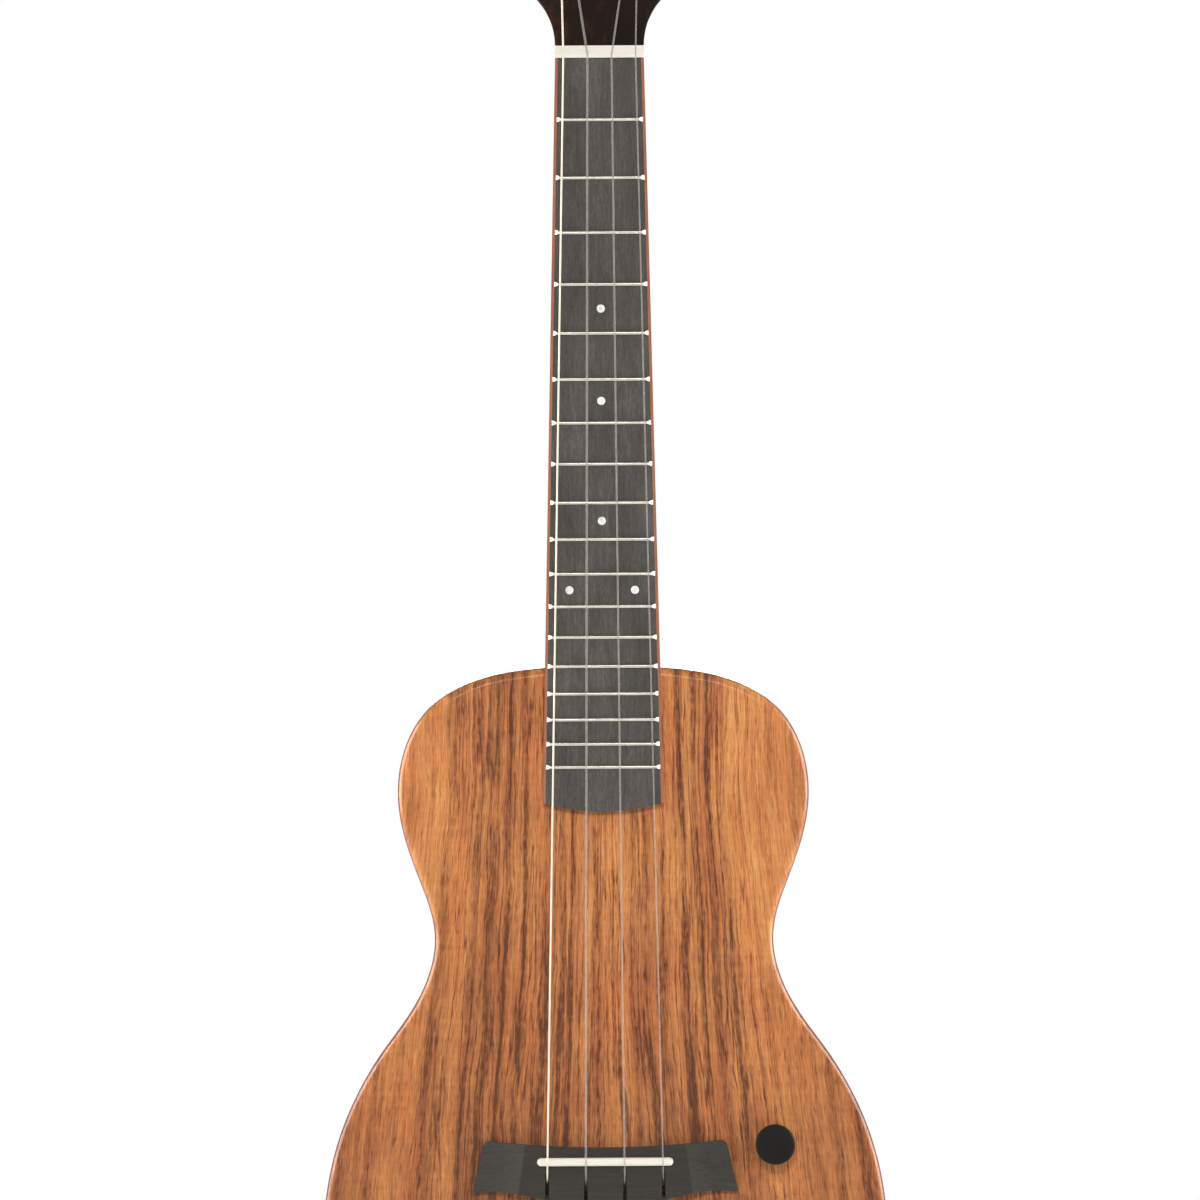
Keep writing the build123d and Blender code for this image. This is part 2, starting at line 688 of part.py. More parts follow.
def side_dot_plane(low, shift):
    """Where one side dot sits, on the outer face of the bass-side binding."""
    z = (fret_z(low) + fret_z(low + 1)) / 2 + shift
    return Plane(origin=(-board_half(z), -BOARD_THICKNESS / 2, z), x_dir=(0, 1, 0), z_dir=(1, 0, 0))


with BuildPart() as fretboard_binding:
    for side in (-1, 1):
        with BuildSketch(front(0)):
            with BuildLine():
                Polyline(
                    (side * NUT_END_HALF, 0),
                    (side * BOARD_END_HALF, BOARD_END_CORNER),
                    (side * (BOARD_END_HALF - BINDING), BOARD_END_CORNER),
                    (side * (NUT_END_HALF - BINDING), 0),
                    close=True,
                )
            make_face()
        extrude(amount=BOARD_THICKNESS)
    for low, shift in SIDE_DOTS:
        with BuildSketch(side_dot_plane(low, shift)):
            Circle(SIDE_DOT_RADIUS)
        extrude(amount=DOT_DEPTH / 2, both=True, mode=Mode.SUBTRACT)
fretboard_binding.part.label = "fretboard_binding"
export_step(fretboard_binding.part, "parts/fretboard_binding.step")

with BuildPart() as position_dots:
    with BuildSketch(front(BOARD_THICKNESS)):
        add(dot_spots.sketch)
    extrude(amount=-DOT_DEPTH)
    for low, shift in SIDE_DOTS:
        with BuildSketch(side_dot_plane(low, shift)):
            Circle(SIDE_DOT_RADIUS)
        extrude(amount=DOT_DEPTH / 2)
position_dots.part.label = "position_dots"
export_step(position_dots.part, "parts/position_dots.step")

with BuildPart() as frets:
    # crowns, their ends bevelled together by one tapered prism
    for number in range(1, FRET_COUNT + 1):
        z = fret_z(number)
        with BuildSketch(Plane.YZ):
            with BuildLine():
                low_corner = (-BOARD_THICKNESS, z - FRET_WIDTH / 2)
                high_corner = (-BOARD_THICKNESS, z + FRET_WIDTH / 2)
                ThreePointArc(low_corner, (-BOARD_THICKNESS - FRET_HEIGHT, z), high_corner)
                Line(high_corner, low_corner)
            make_face()
        extrude(amount=board_half(z) - BINDING, both=True)
    for z in (0, BOARD_END_CORNER):
        with BuildSketch(Plane.XY.offset(z)):
            foot = board_half(z) - BINDING
            Polygon(
                (-foot, -BOARD_THICKNESS),
                (foot, -BOARD_THICKNESS),
                (foot - FRET_BEVEL, -BOARD_THICKNESS - FRET_HEIGHT),
                (-foot + FRET_BEVEL, -BOARD_THICKNESS - FRET_HEIGHT),
                align=None,
            )
    loft(ruled=True, mode=Mode.INTERSECT)
    for number in range(1, FRET_COUNT + 1):
        z = fret_z(number)
        with BuildSketch(front(BOARD_THICKNESS)):
            with Locations((0, z)):
                Rectangle(2 * (board_half(z) - BINDING - TANG_GAP), TANG_WIDTH)
        extrude(amount=-TANG_DEPTH)
frets.part.label = "frets"
export_step(frets.part, "parts/frets.step")

with BuildPart() as nut:
    with BuildSketch(Plane.YZ):
        with BuildLine():
            Polyline(
                (0, 0),
                (0, NUT_LENGTH),
                (-NUT_HEIGHT + NUT_BACK_DROP, NUT_LENGTH),
                (-NUT_HEIGHT, STRING_Z_NUT),
                (-NUT_HEIGHT, 0),
                close=True,
            )
        make_face()
    extrude(amount=NUT_END_HALF, both=True)
    fillet(edges().filter_by(Axis.X).group_by(Axis.Y)[0], NUT_EDGE_RADIUS)
    cut_string_grooves()
nut.part.label = "nut"
export_step(nut.part, "parts/nut.step")


def neck_section(plane, half_width, depth, belly=SHAFT_BELLY, corner=SHAFT_CORNER):
    """One cross-section of the neck: flat on top, with a rounded back."""
    with BuildSketch(plane) as section:
        with BuildLine():
            Line((-half_width, 0), (half_width, 0))
            for side in (1, -1):
                edge = side * half_width
                Bezier((edge, 0), (edge, belly * depth), (corner * edge, depth), (0, depth))
        make_face()
    return section.sketch


def level(z):
    """The plane across the neck at one level, with local y into the neck's depth."""
    return Plane(origin=(0, 0, z), x_dir=(1, 0, 0), z_dir=(0, 0, 1))


def head_level(t):
    """The plane across the headstock's wood, with local y into its depth."""
    return Plane(origin=head_point(0, t, -OVERLAY), x_dir=(1, 0, 0), z_dir=head.y_dir)


def carve_half(t):
    """Half the width of the headstock beside the arc of its flare, and along the line that leaves it."""
    arc_end = FLARE_RADIUS * math.sin(math.radians(FLARE_ANGLE))
    on_arc = min(t, arc_end)
    half = NUT_HALF + FLARE_RADIUS - math.sqrt(FLARE_RADIUS**2 - on_arc**2)
    return half + (t - on_arc) * math.tan(math.radians(FLARE_ANGLE))


with BuildSketch() as head_face:
    with BuildLine():
        for side in (-1, 1):
            flare_centre = side * (NUT_HALF + FLARE_RADIUS)
            start_angle = 180 if side > 0 else 0
            flare = CenterArc((flare_centre, 0), FLARE_RADIUS, start_angle, -side * FLARE_ANGLE)
            shoulder = flare @ 1 + (flare % 1) * SHOULDER_REACH
            crown_corner = (side * CROWN_CORNER[0], CROWN_CORNER[1])
            cusp = (side * CROWN_CUSP[0], CROWN_CUSP[1])
            corner_radii = [SHOULDER_RADIUS, CROWN_CORNER_RADIUS]
            FilletPolyline(flare @ 1, shoulder, crown_corner, cusp, radius=corner_radii)
        ThreePointArc((-CROWN_CUSP[0], CROWN_CUSP[1]), (0, HEAD_LENGTH), CROWN_CUSP)
        Line((-NUT_HALF, 0), (NUT_HALF, 0))
    make_face()

with BuildPart() as neck:
    # shaft
    for z, depth in ((0, SHAFT_DEPTH_NUT), (SHAFT_END, SHAFT_DEPTH_HEEL)):
        add(neck_section(level(z), board_half(z), depth))
    loft(ruled=True)
    # heel
    for z, depth, belly, corner in HEEL:
        add(neck_section(level(z), board_half(z), depth, belly, corner))
    loft()
    # tenon
    with BuildSketch(front(-TENON_DEPTH)):
        with Locations((0, (BODY_TOP + TENON_END) / 2)):
            Rectangle(2 * TENON_HALF, BODY_TOP - TENON_END)
    extrude(amount=TENON_DEPTH)
    # carved passage from the round shaft to the flat back of the headstock
    add(neck_section(level(0), NUT_HALF, SHAFT_DEPTH_NUT))
    add(neck_section(head_level(0), NUT_HALF, HEAD_WOOD + CARVE_SWELL))
    loft(ruled=True)
    for t in CARVE_LEVELS:
        squareness = (t / CARVE_END) ** 3
        depth = HEAD_WOOD + CARVE_SWELL * (1 - t / CARVE_END)
        belly = SHAFT_BELLY + (1 - SHAFT_BELLY) * squareness
        corner = SHAFT_CORNER + (0.98 - SHAFT_CORNER) * squareness
        add(neck_section(head_level(t), carve_half(t), depth, belly, corner))
    loft()
    # headstock
    with BuildSketch(head.offset(HEAD_BACK)):
        add(head_face.sketch)
        Rectangle(4 * NUT_HALF, 2 * CARVE_END - 0.2, mode=Mode.SUBTRACT)
    extrude(amount=HEAD_WOOD)
    with BuildSketch(head.offset(HEAD_BACK)):
        for side, post_x, post_t in TUNERS.values():
            with Locations((side * post_x, post_t)):
                Circle(BUSHING_SLEEVE)
    extrude(amount=HEAD_WOOD, mode=Mode.SUBTRACT)
    with BuildSketch(head.offset(HEAD_BACK)):
        for side, post_x, post_t in TUNERS.values():
            for u in (-PLATE_SCREW[0], PLATE_SCREW[0]):
                with Locations((side * post_x + u, post_t + PLATE_SCREW[1])):
                    Circle(TUNER_SCREW_SHANK)
    extrude(amount=TUNER_SCREW_LENGTH, mode=Mode.SUBTRACT)
    # slot for the stiffening rod
    with BuildSketch(front(0)):
        with Locations((0, sum(ROD_Z) / 2)):
            Rectangle(ROD_WIDTH + ROD_PLAY, ROD_Z[1] - ROD_Z[0] + ROD_PLAY)
    extrude(amount=-ROD_DEPTH - ROD_PLAY, mode=Mode.SUBTRACT)
neck.part.label = "neck"
export_step(neck.part, "parts/neck.step")

with BuildPart() as neck_rod:
    with BuildSketch(front(0)):
        with Locations((0, sum(ROD_Z) / 2)):
            Rectangle(ROD_WIDTH, ROD_Z[1] - ROD_Z[0])
    extrude(amount=-ROD_DEPTH)
neck_rod.part.label = "neck_rod"
export_step(neck_rod.part, "parts/neck_rod.step")

with BuildPart() as headstock_overlay:
    with BuildSketch(head.offset(-OVERLAY)):
        add(head_face.sketch)
        Rectangle(2 * NUT_HALF, OVERLAY_OVERRUN, align=(Align.CENTER, Align.MAX))
        for side, post_x, post_t in TUNERS.values():
            with Locations((side * post_x, post_t)):
                Circle(BUSHING_SLEEVE, mode=Mode.SUBTRACT)
    extrude(amount=OVERLAY)
    split(bisect_by=Plane.XY.offset(NUT_LENGTH), keep=Keep.TOP)
headstock_overlay.part.label = "headstock_overlay"
export_step(headstock_overlay.part, "parts/headstock_overlay.step")

# =====================================================================================
# Tuners: each kind of piece is made once in its own frame and placed four times
# =====================================================================================


def post_plane(name):
    """A post's frame: local z along the post, out of the headstock's face, and local x outward."""
    side, post_x, post_t = TUNERS[name]
    return Plane(origin=head_point(side * post_x, post_t, 0), x_dir=(side, 0, 0), z_dir=head.z_dir)


def key_plane(name):
    """A key's frame: local z outward along the worm, and local x towards its gear."""
    side, post_x, post_t = TUNERS[name]
    centre = head_point(side * post_x, post_t - WORM_CENTRE, WORM_S)
    return Plane(origin=centre, x_dir=head.y_dir, z_dir=(side, 0, 0))


def write_placed(piece, plane, name):
    """Place a piece by its frame and write it as a node."""
    with BuildPart() as placed:
        add(piece.moved(plane.location))
    placed.part.label = name
    export_step(placed.part, f"parts/{name}.step")


waist_low, waist_high = POST_WAIST_LEVELS
post_foot = GEAR_TOP_S - GEAR_FACE
with BuildPart() as post:
    add(
        turned(
            (0, POST_TOP),
            (POST_CAP - 1.1, POST_TOP),
            (POST_CAP - 0.3, POST_TOP - 0.5),
            (POST_CAP, POST_TOP - 1.2),
            (POST_CAP, waist_high + POST_TAPER - 0.2),
            (POST_WAIST, waist_high),
            (POST_WAIST, waist_low),
            (POST_RADIUS, waist_low - POST_TAPER),
            (POST_RADIUS, GEAR_TOP_S),
            (GEAR_BORE, GEAR_TOP_S),
            (GEAR_BORE, post_foot),
            (POST_BORE, post_foot),
            (POST_BORE, GEAR_TOP_S + POST_BORE_DEPTH),
            (0, GEAR_TOP_S + POST_BORE_DEPTH),
        )
    )
    # hole for the string's end
    with Locations((0, 0, POST_HOLE_LEVEL)):
        Cylinder(POST_HOLE_RADIUS, 4 * POST_RADIUS, rotation=(0, 90, 0), mode=Mode.SUBTRACT)

with BuildPart() as gear:
    with BuildSketch(Plane.XY.offset(post_foot)):
        Circle(GEAR_ROOT)
        # a gap between two teeth looks along -Y, where a worm may lie
        with PolarLocations(0, GEAR_TEETH, start_angle=-90 + 180 / GEAR_TEETH):
            Polygon(
                (TOOTH_FOOT, -TOOTH_FOOT_HALF),
                (GEAR_OUTER, -TOOTH_TIP_HALF),
                (GEAR_OUTER, TOOTH_TIP_HALF),
                (TOOTH_FOOT, TOOTH_FOOT_HALF),
                align=None,
            )
        Circle(GEAR_BORE, mode=Mode.SUBTRACT)
    extrude(amount=GEAR_FACE)

gear_screw_end = post_foot - GEAR_SCREW_HEIGHT
with BuildPart() as gear_screw:
    add(
        turned(
            (0, post_foot + GEAR_SCREW_LENGTH),
            (GEAR_SCREW_SHANK, post_foot + GEAR_SCREW_LENGTH),
            (GEAR_SCREW_SHANK, post_foot),
            (GEAR_SCREW_HEAD, post_foot),
            (GEAR_SCREW_HEAD, gear_screw_end + GEAR_SCREW_CHAMFER),
            (GEAR_SCREW_HEAD - GEAR_SCREW_CHAMFER, gear_screw_end),
            (0, gear_screw_end),
        )
    )
    with BuildSketch(Plane.XY.offset(gear_screw_end)):
        Rectangle(3 * GEAR_SCREW_HEAD, SCREW_SLOT_WIDTH)
    extrude(amount=SCREW_SLOT_DEPTH, mode=Mode.SUBTRACT)

with BuildPart() as worm:
    with BuildSketch(Plane.XY.offset(WORM_SHAFT_END)):
        Circle(WORM_SHAFT)
    extrude(amount=BUTTON_COLLAR_START + BUTTON_BORE_DEPTH - 0.1 - WORM_SHAFT_END)
    with BuildSketch(Plane.XY.offset(-WORM_HALF)):
        Circle(WORM_CORE)
    extrude(amount=2 * WORM_HALF)
    for start in (-WORM_HALF, WORM_HALF - COLLAR_LENGTH):
        with BuildSketch(Plane.XY.offset(start)):
            Circle(COLLAR_RADIUS)
        extrude(amount=COLLAR_LENGTH)
    # right-handed thread, with a crest towards the gear half way along
    thread_length = WORM_TURNS * WORM_PITCH
    with BuildLine():
        thread = Helix(WORM_PITCH, thread_length, WORM_PITCH_RADIUS, center=(0, 0, -thread_length / 2))
    with BuildSketch(Plane(origin=thread @ 0, x_dir=(1, 0, 0), z_dir=thread % 0)):
        root = THREAD_ROOT - WORM_PITCH_RADIUS
        crest = WORM_CREST - WORM_PITCH_RADIUS
        Polygon(
            (root, -THREAD_FOOT_HALF),
            (crest, -THREAD_TIP_HALF),
            (crest, THREAD_TIP_HALF),
            (root, THREAD_FOOT_HALF),
            align=None,
        )
    sweep(path=thread, is_frenet=True)

with BuildPart() as button:
    with BuildSketch(Plane.XZ):
        with Locations((0, BUTTON_U + BUTTON_LENGTH / 2)):
            Ellipse(BUTTON_WIDTH / 2, BUTTON_LENGTH / 2)
    extrude(amount=BUTTON_THICKNESS / 2, both=True)
    fillet(edges(), BUTTON_EDGE_RADIUS)
    with BuildSketch(Plane.XY.offset(BUTTON_COLLAR_START)):
        Circle(BUTTON_COLLAR_RADIUS)
    extrude(amount=BUTTON_COLLAR_LENGTH)
    with BuildSketch(Plane.XY.offset(BUTTON_COLLAR_START)):
        Circle(WORM_SHAFT + BUTTON_PLAY)
    extrude(amount=BUTTON_BORE_DEPTH, mode=Mode.SUBTRACT)


def tuner_base(side):
    """The base plate of a tuner in its post's frame, with the two ears that hold the worm."""
    low = HEAD_BACK - PLATE_THICKNESS
    with BuildPart() as base:
        with BuildSketch(Plane.XY.offset(low)):
            with Locations((0, -side * PLATE_SHIFT)):
                RectangleRounded(*PLATE_SIZE, PLATE_CORNER)
            Circle(BUSHING_BORE, mode=Mode.SUBTRACT)
            with Locations(*[(u, side * PLATE_SCREW[1]) for u in (-PLATE_SCREW[0], PLATE_SCREW[0])]):
                Circle(TUNER_SCREW_SHANK, mode=Mode.SUBTRACT)
        extrude(amount=PLATE_THICKNESS)
        for u in (-EAR_OUTER, EAR_INNER):
            with BuildSketch(Plane.YZ.offset(u)):
                with Locations((-side * WORM_CENTRE, WORM_S)):
                    Circle(EAR_RADIUS)
                    Rectangle(2 * EAR_RADIUS, low - WORM_S, align=(Align.CENTER, Align.MIN))
                    Circle(WORM_BORE, mode=Mode.SUBTRACT)
            extrude(amount=EAR_OUTER - EAR_INNER)
    return base.part


def string_coil(radius):
    """The windings of one string on its post, as one scalloped ring."""
    with BuildPart() as coil:
        with BuildSketch(Plane.XZ):
            with Locations((POST_WAIST, COIL_LOW)):
                Rectangle(radius, 2 * radius * COIL_TURNS, align=(Align.MIN, Align.MIN))
            for turn in range(COIL_TURNS):
                with Locations((POST_WAIST + radius, COIL_LOW + radius * (2 * turn + 1))):
                    Circle(radius)
        revolve(axis=Axis.Z)
    return coil.part


tuner_screw_profile = [
    (TUNER_SCREW_HEAD * 0.6, 0),
    (TUNER_SCREW_HEAD, -TUNER_SCREW_HEIGHT / 2),
    (TUNER_SCREW_HEAD, -TUNER_SCREW_HEIGHT),
    (TUNER_SCREW_SHANK, -TUNER_SCREW_HEIGHT),
    (TUNER_SCREW_SHANK, -TUNER_SCREW_LENGTH + 0.5),
    (0, -TUNER_SCREW_LENGTH + 0.1),
]
tuner_screw = cross_screw(tuner_screw_profile, TUNER_SCREW_HEAD * 1.1)

for name in TUNERS:
    write_placed(post.part, post_plane(name), "post_" + name)
    write_placed(gear.part, post_plane(name), "gear_" + name)
    write_placed(gear_screw.part, post_plane(name), "gear_screw_" + name)
    write_placed(string_coil(STRING_RADIUS[name]), post_plane(name), "coil_" + name)
    write_placed(tuner_base(TUNERS[name][0]), post_plane(name), "tuner_base_" + name)
    write_placed(worm.part, key_plane(name), "worm_" + name)
    write_placed(button.part, key_plane(name), "button_" + name)

bushing = turned(
    (BUSHING_BORE, -BUSHING_LENGTH),
    (BUSHING_SLEEVE, -BUSHING_LENGTH),
    (BUSHING_SLEEVE, 0),
    (BUSHING_FLANGE, 0),
    (BUSHING_FLANGE, BUSHING_TOP - 0.7),
    (BUSHING_FLANGE - BUSHING_BEVEL, BUSHING_TOP),
    (BUSHING_BORE, BUSHING_TOP),
)
with BuildPart() as tuner_bushings:
    for name in TUNERS:
        add(bushing.moved(post_plane(name).location))
tuner_bushings.part.label = "tuner_bushings"
export_step(tuner_bushings.part, "parts/tuner_bushings.step")

screw_head_s = HEAD_BACK - PLATE_THICKNESS - TUNER_SCREW_HEIGHT
with BuildPart() as tuner_screws:
    for side, post_x, post_t in TUNERS.values():
        for u in (-PLATE_SCREW[0], PLATE_SCREW[0]):
            spot = head_point(side * post_x + u, post_t + PLATE_SCREW[1], screw_head_s)
            add(tuner_screw.moved(Plane(origin=spot, x_dir=(1, 0, 0), z_dir=-head.z_dir).location))
tuner_screws.part.label = "tuner_screws"
export_step(tuner_screws.part, "parts/tuner_screws.step")

# =====================================================================================
# Volume control
# =====================================================================================

pot_plane = Plane(origin=(POT_X, 0, POT_Z), x_dir=(1, 0, 0), z_dir=(0, -1, 0))

with BuildPart() as pot_case:
    add(
        turned(
            (0, -POT_CASE_DEPTH),
            (POT_CASE_RADIUS, -POT_CASE_DEPTH),
            (POT_CASE_RADIUS, -POT_RECESS_CEILING),
            (POT_BUSHING_RADIUS, -POT_RECESS_CEILING),
            (POT_BUSHING_RADIUS, POT_BUSHING_TOP),
            (POT_BORE, POT_BUSHING_TOP),
            (POT_BORE, POT_BORE_END),
            (0, POT_BORE_END),
        ).moved(pot_plane.location)
    )
    # solder lugs towards the preamp
    with BuildSketch(front(POT_LUG_LEVEL)):
        with Locations((POT_X - POT_CASE_RADIUS - POT_LUG_REACH, POT_Z)):
            with GridLocations(0, POT_LUG_SPACING, 1, 3):
                Rectangle(*POT_LUG_SIZE, align=(Align.MIN, Align.CENTER))
    extrude(amount=POT_LUG_THICKNESS)
pot_case.part.label = "pot_case"
export_step(pot_case.part, "parts/pot_case.step")

with BuildPart() as pot_fixings:
    with BuildSketch(front(0)):
        with Locations((POT_X, POT_Z)):
            Circle(POT_WASHER_RADIUS)
            Circle(POT_BUSHING_RADIUS + FIXING_PLAY, mode=Mode.SUBTRACT)
    extrude(amount=POT_WASHER_THICKNESS)
    with BuildSketch(front(POT_NUT_START)):
        with Locations((POT_X, POT_Z)):
            RegularPolygon(POT_NUT_HALF, 6, major_radius=False)
            Circle(POT_BUSHING_RADIUS + FIXING_PLAY, mode=Mode.SUBTRACT)
    extrude(amount=POT_NUT_THICKNESS)
pot_fixings.part.label = "pot_fixings"
export_step(pot_fixings.part, "parts/pot_fixings.step")

pot_shaft_form = turned(
    (0, POT_SHAFT_FOOT),
    (POT_SHAFT, POT_SHAFT_FOOT),
    (POT_SHAFT, POT_SHAFT_TOP - POT_SHAFT_BEVEL),
    (POT_SHAFT - POT_SHAFT_BEVEL, POT_SHAFT_TOP),
    (0, POT_SHAFT_TOP),
)
write_placed(pot_shaft_form, pot_plane, "pot_shaft")

with BuildPart() as knob:
    add(
        turned(
            (POT_SHAFT + KNOB_PLAY, KNOB_HOLLOW_TOP),
            (KNOB_HOLLOW_RADIUS, KNOB_HOLLOW_TOP),
            (KNOB_HOLLOW_RADIUS, KNOB_FOOT),
            (KNOB_RADIUS, KNOB_FOOT),
            (KNOB_RADIUS, KNOB_TOP),
            (0, KNOB_TOP),
            (0, POT_SHAFT_TOP + KNOB_GAP),
            (POT_SHAFT + KNOB_PLAY, POT_SHAFT_TOP + KNOB_GAP),
        )
    )
    fillet(faces().sort_by(Axis.Z)[-1].edges(), KNOB_EDGE_RADIUS)
write_placed(knob.part, pot_plane, "volume_knob")

# =====================================================================================
# Electronics in the cavity
# =====================================================================================

with BuildPart() as preamp_board:
    with BuildSketch(front(PREAMP_TOP_H - PREAMP_SHEET)):
        with Locations(PREAMP_CENTRE):
            RectangleRounded(*PREAMP_SIZE, PREAMP_CORNER)
    extrude(amount=PREAMP_SHEET)
    # pillars to the cavity's ceiling
    with BuildSketch(front(PREAMP_TOP_H)):
        with Locations(PREAMP_CENTRE):
            with GridLocations(PREAMP_SIZE[0] - 2 * PILLAR_INSET, PREAMP_SIZE[1] - 2 * PILLAR_INSET, 2, 2):
                Circle(PILLAR_RADIUS)
    extrude(amount=-PREAMP_TOP_H - CAVITY_CEILING)
    # chip, capacitors and lead sockets on the side that the cover hides
    under = front(PREAMP_TOP_H - PREAMP_SHEET)
    with BuildSketch(under):
        with Locations(CHIP_SPOT):
            Rectangle(*CHIP_SIZE)
    extrude(amount=-CHIP_HEIGHT)
    with BuildSketch(under):
        with Locations(*CAPACITOR_SPOTS):
            Circle(CAPACITOR_RADIUS)
    extrude(amount=-CAPACITOR_HEIGHT)
    with BuildSketch(under):
        with Locations(*SOCKET_SPOTS):
            Rectangle(*SOCKET_SIZE)
    extrude(amount=-SOCKET_HEIGHT)
preamp_board.part.label = "preamp_board"
export_step(preamp_board.part, "parts/preamp_board.step")

battery_end = BATTERY_CENTRE[0] + BATTERY_SIZE[0] / 2
battery_middle = CAVITY_CEILING + BATTERY_HEIGHT / 2
end_plane = Plane(origin=(battery_end, battery_middle, BATTERY_CENTRE[1]), x_dir=(0, 1, 0), z_dir=(1, 0, 0))

with BuildPart() as battery:
    with BuildSketch(end_plane):
        RectangleRounded(BATTERY_HEIGHT, BATTERY_SIZE[1], BATTERY_CORNER)
    extrude(amount=-BATTERY_SIZE[0])
    with BuildSketch(end_plane):
        with Locations((0, TERMINAL_OFFSET)):
            Circle(TERMINAL_RADIUS)
        with Locations((0, -TERMINAL_OFFSET)):
            RegularPolygon(TERMINAL_SOCKET, 6)
    extrude(amount=TERMINAL_LENGTH)
battery.part.label = "battery"
export_step(battery.part, "parts/battery.step")

with BuildPart() as battery_snap:
    with BuildSketch(end_plane.offset(SNAP_GAP)):
        RectangleRounded(*SNAP_SIZE, SNAP_CORNER)
    extrude(amount=SNAP_THICKNESS)
    with BuildSketch(end_plane.offset(SNAP_GAP)):
        with Locations((0, TERMINAL_OFFSET)):
            Circle(TERMINAL_RADIUS + SNAP_PLAY)
        with Locations((0, -TERMINAL_OFFSET)):
            Circle(TERMINAL_SOCKET + SNAP_PLAY)
    extrude(amount=TERMINAL_LENGTH - SNAP_GAP + SNAP_PLAY, mode=Mode.SUBTRACT)
battery_snap.part.label = "battery_snap"
export_step(battery_snap.part, "parts/battery_snap.step")

# Leads, as lists of points: from the snap to the board, from the board to the pot's lugs, and from the
# jack's lugs to the board. They run along the rear of the board, so y grows towards the cover.
under_board = -PREAMP_TOP_H + PREAMP_SHEET + WIRE_RADIUS + 0.1
board_right = PREAMP_CENTRE[0] + PREAMP_SIZE[0] / 2 - 1
snap_right = battery_end + SNAP_GAP + SNAP_THICKNESS
wire_routes = []
for shift in (0, 2.0):
    wire_routes.append(
        [
            (snap_right + 0.7, battery_middle - 2 + shift, -455.0),
            (snap_right + 4.0, battery_middle - 2 + shift, -452.0),
            (snap_right - 1.0, battery_middle - 1.5 + shift, -444.8),
            (60.0, battery_middle - 1.0 + shift, -443.8),
            (board_right + 3.0, under_board + 0.6, -437.0 + shift),
            (board_right - 1.0, under_board, -435.6 + shift),
        ]
    )
lug_x = POT_X - POT_CASE_RADIUS - POT_LUG_REACH
lug_y = -POT_LUG_LEVEL - POT_LUG_THICKNESS / 2
for shift in (-POT_LUG_SPACING, 0, POT_LUG_SPACING):
    wire_routes.append(
        [
            (lug_x - 0.6, lug_y, POT_Z + shift),
            (lug_x - 3.0, 12.4, POT_Z + shift),
            (board_right + 3.4, under_board + 1.2, POT_Z + shift * 0.8),
            (board_right - 0.6, under_board, POT_Z + shift * 0.8),
        ]
    )
for shift in (-JACK_LUG_X, JACK_LUG_X):
    wire_routes.append(
        [
            (shift, -JACK_H, -493.0),
            (shift + 1.0, -JACK_H, -478.0),
            (shift + 7.0, under_board + 2.0, -458.0),
            (shift + 16.0, under_board, -443.0),
            (shift + 17.0, under_board, -437.0),
        ]
    )


def bend_radii(points):
    """A radius for each corner of a route: as large as the two runs beside it allow."""
    radii = []
    for before, corner, after in zip(points, points[1:], points[2:]):
        arriving = Vector(corner) - Vector(before)
        leaving = Vector(after) - Vector(corner)
        half_turn = math.radians(arriving.get_angle(leaving)) / 2
        radii.append(0.45 * min(arriving.length, leaving.length) / math.tan(half_turn))
    return radii


with BuildPart() as wiring:
    # screened lead from the pickup, straight down through the body
    with BuildSketch(front(PREAMP_TOP_H)):
        with Locations(LEAD_HOLE):
            Circle(LEAD_RADIUS)
    extrude(amount=PIEZO_FOOT - PREAMP_TOP_H)
    for route in wire_routes:
        with BuildLine():
            run = FilletPolyline(*route, radius=bend_radii(route))
        with BuildSketch(Plane(run @ 0, z_dir=run % 0)):
            Circle(WIRE_RADIUS)
        sweep(path=run)
wiring.part.label = "wiring"
export_step(wiring.part, "parts/wiring.step")

# =====================================================================================
# Jack in the tail, and the strap button that clamps it
# =====================================================================================

jack_plane = Plane(origin=(0, -JACK_H, BODY_TAIL - JACK_SEAT), x_dir=(1, 0, 0), z_dir=(0, 0, 1))

strap_button_form = turned(
    (JACK_THREAD, 0),
    (8.0, 0),
    (8.0, -1.6),
    (7.4, -2.2),
    (5.7, -3.6),
    (5.7, -8.2),
    (8.5, -10.2),
    (8.5, -12.2),
    (7.7, STRAP_END),
    (PLUG_BORE, STRAP_END),
    (PLUG_BORE, JACK_THREAD_END),
    (JACK_THREAD, JACK_THREAD_END),
)
write_placed(strap_button_form, jack_plane, "strap_button")

shell_start, shell_end = JACK_SHELL
with BuildPart() as jack_barrel:
    add(
        turned(
            (PLUG_BORE, JACK_THREAD_END),
            (JACK_THREAD, JACK_THREAD_END),
            (JACK_THREAD, shell_start),
            (JACK_SHELL_RADIUS, shell_start),
            (JACK_SHELL_RADIUS, shell_end),
            (0, shell_end),
            (0, PLUG_DEPTH),
            (PLUG_BORE, PLUG_DEPTH),
        )
    )
    # solder lugs
    with BuildSketch(Plane.XY.offset(shell_end)):
        with GridLocations(2 * JACK_LUG_X, 0, 2, 1):
            Rectangle(*JACK_LUG_SIZE)
    extrude(amount=JACK_LUG_LENGTH)
write_placed(jack_barrel.part, jack_plane, "jack_barrel")

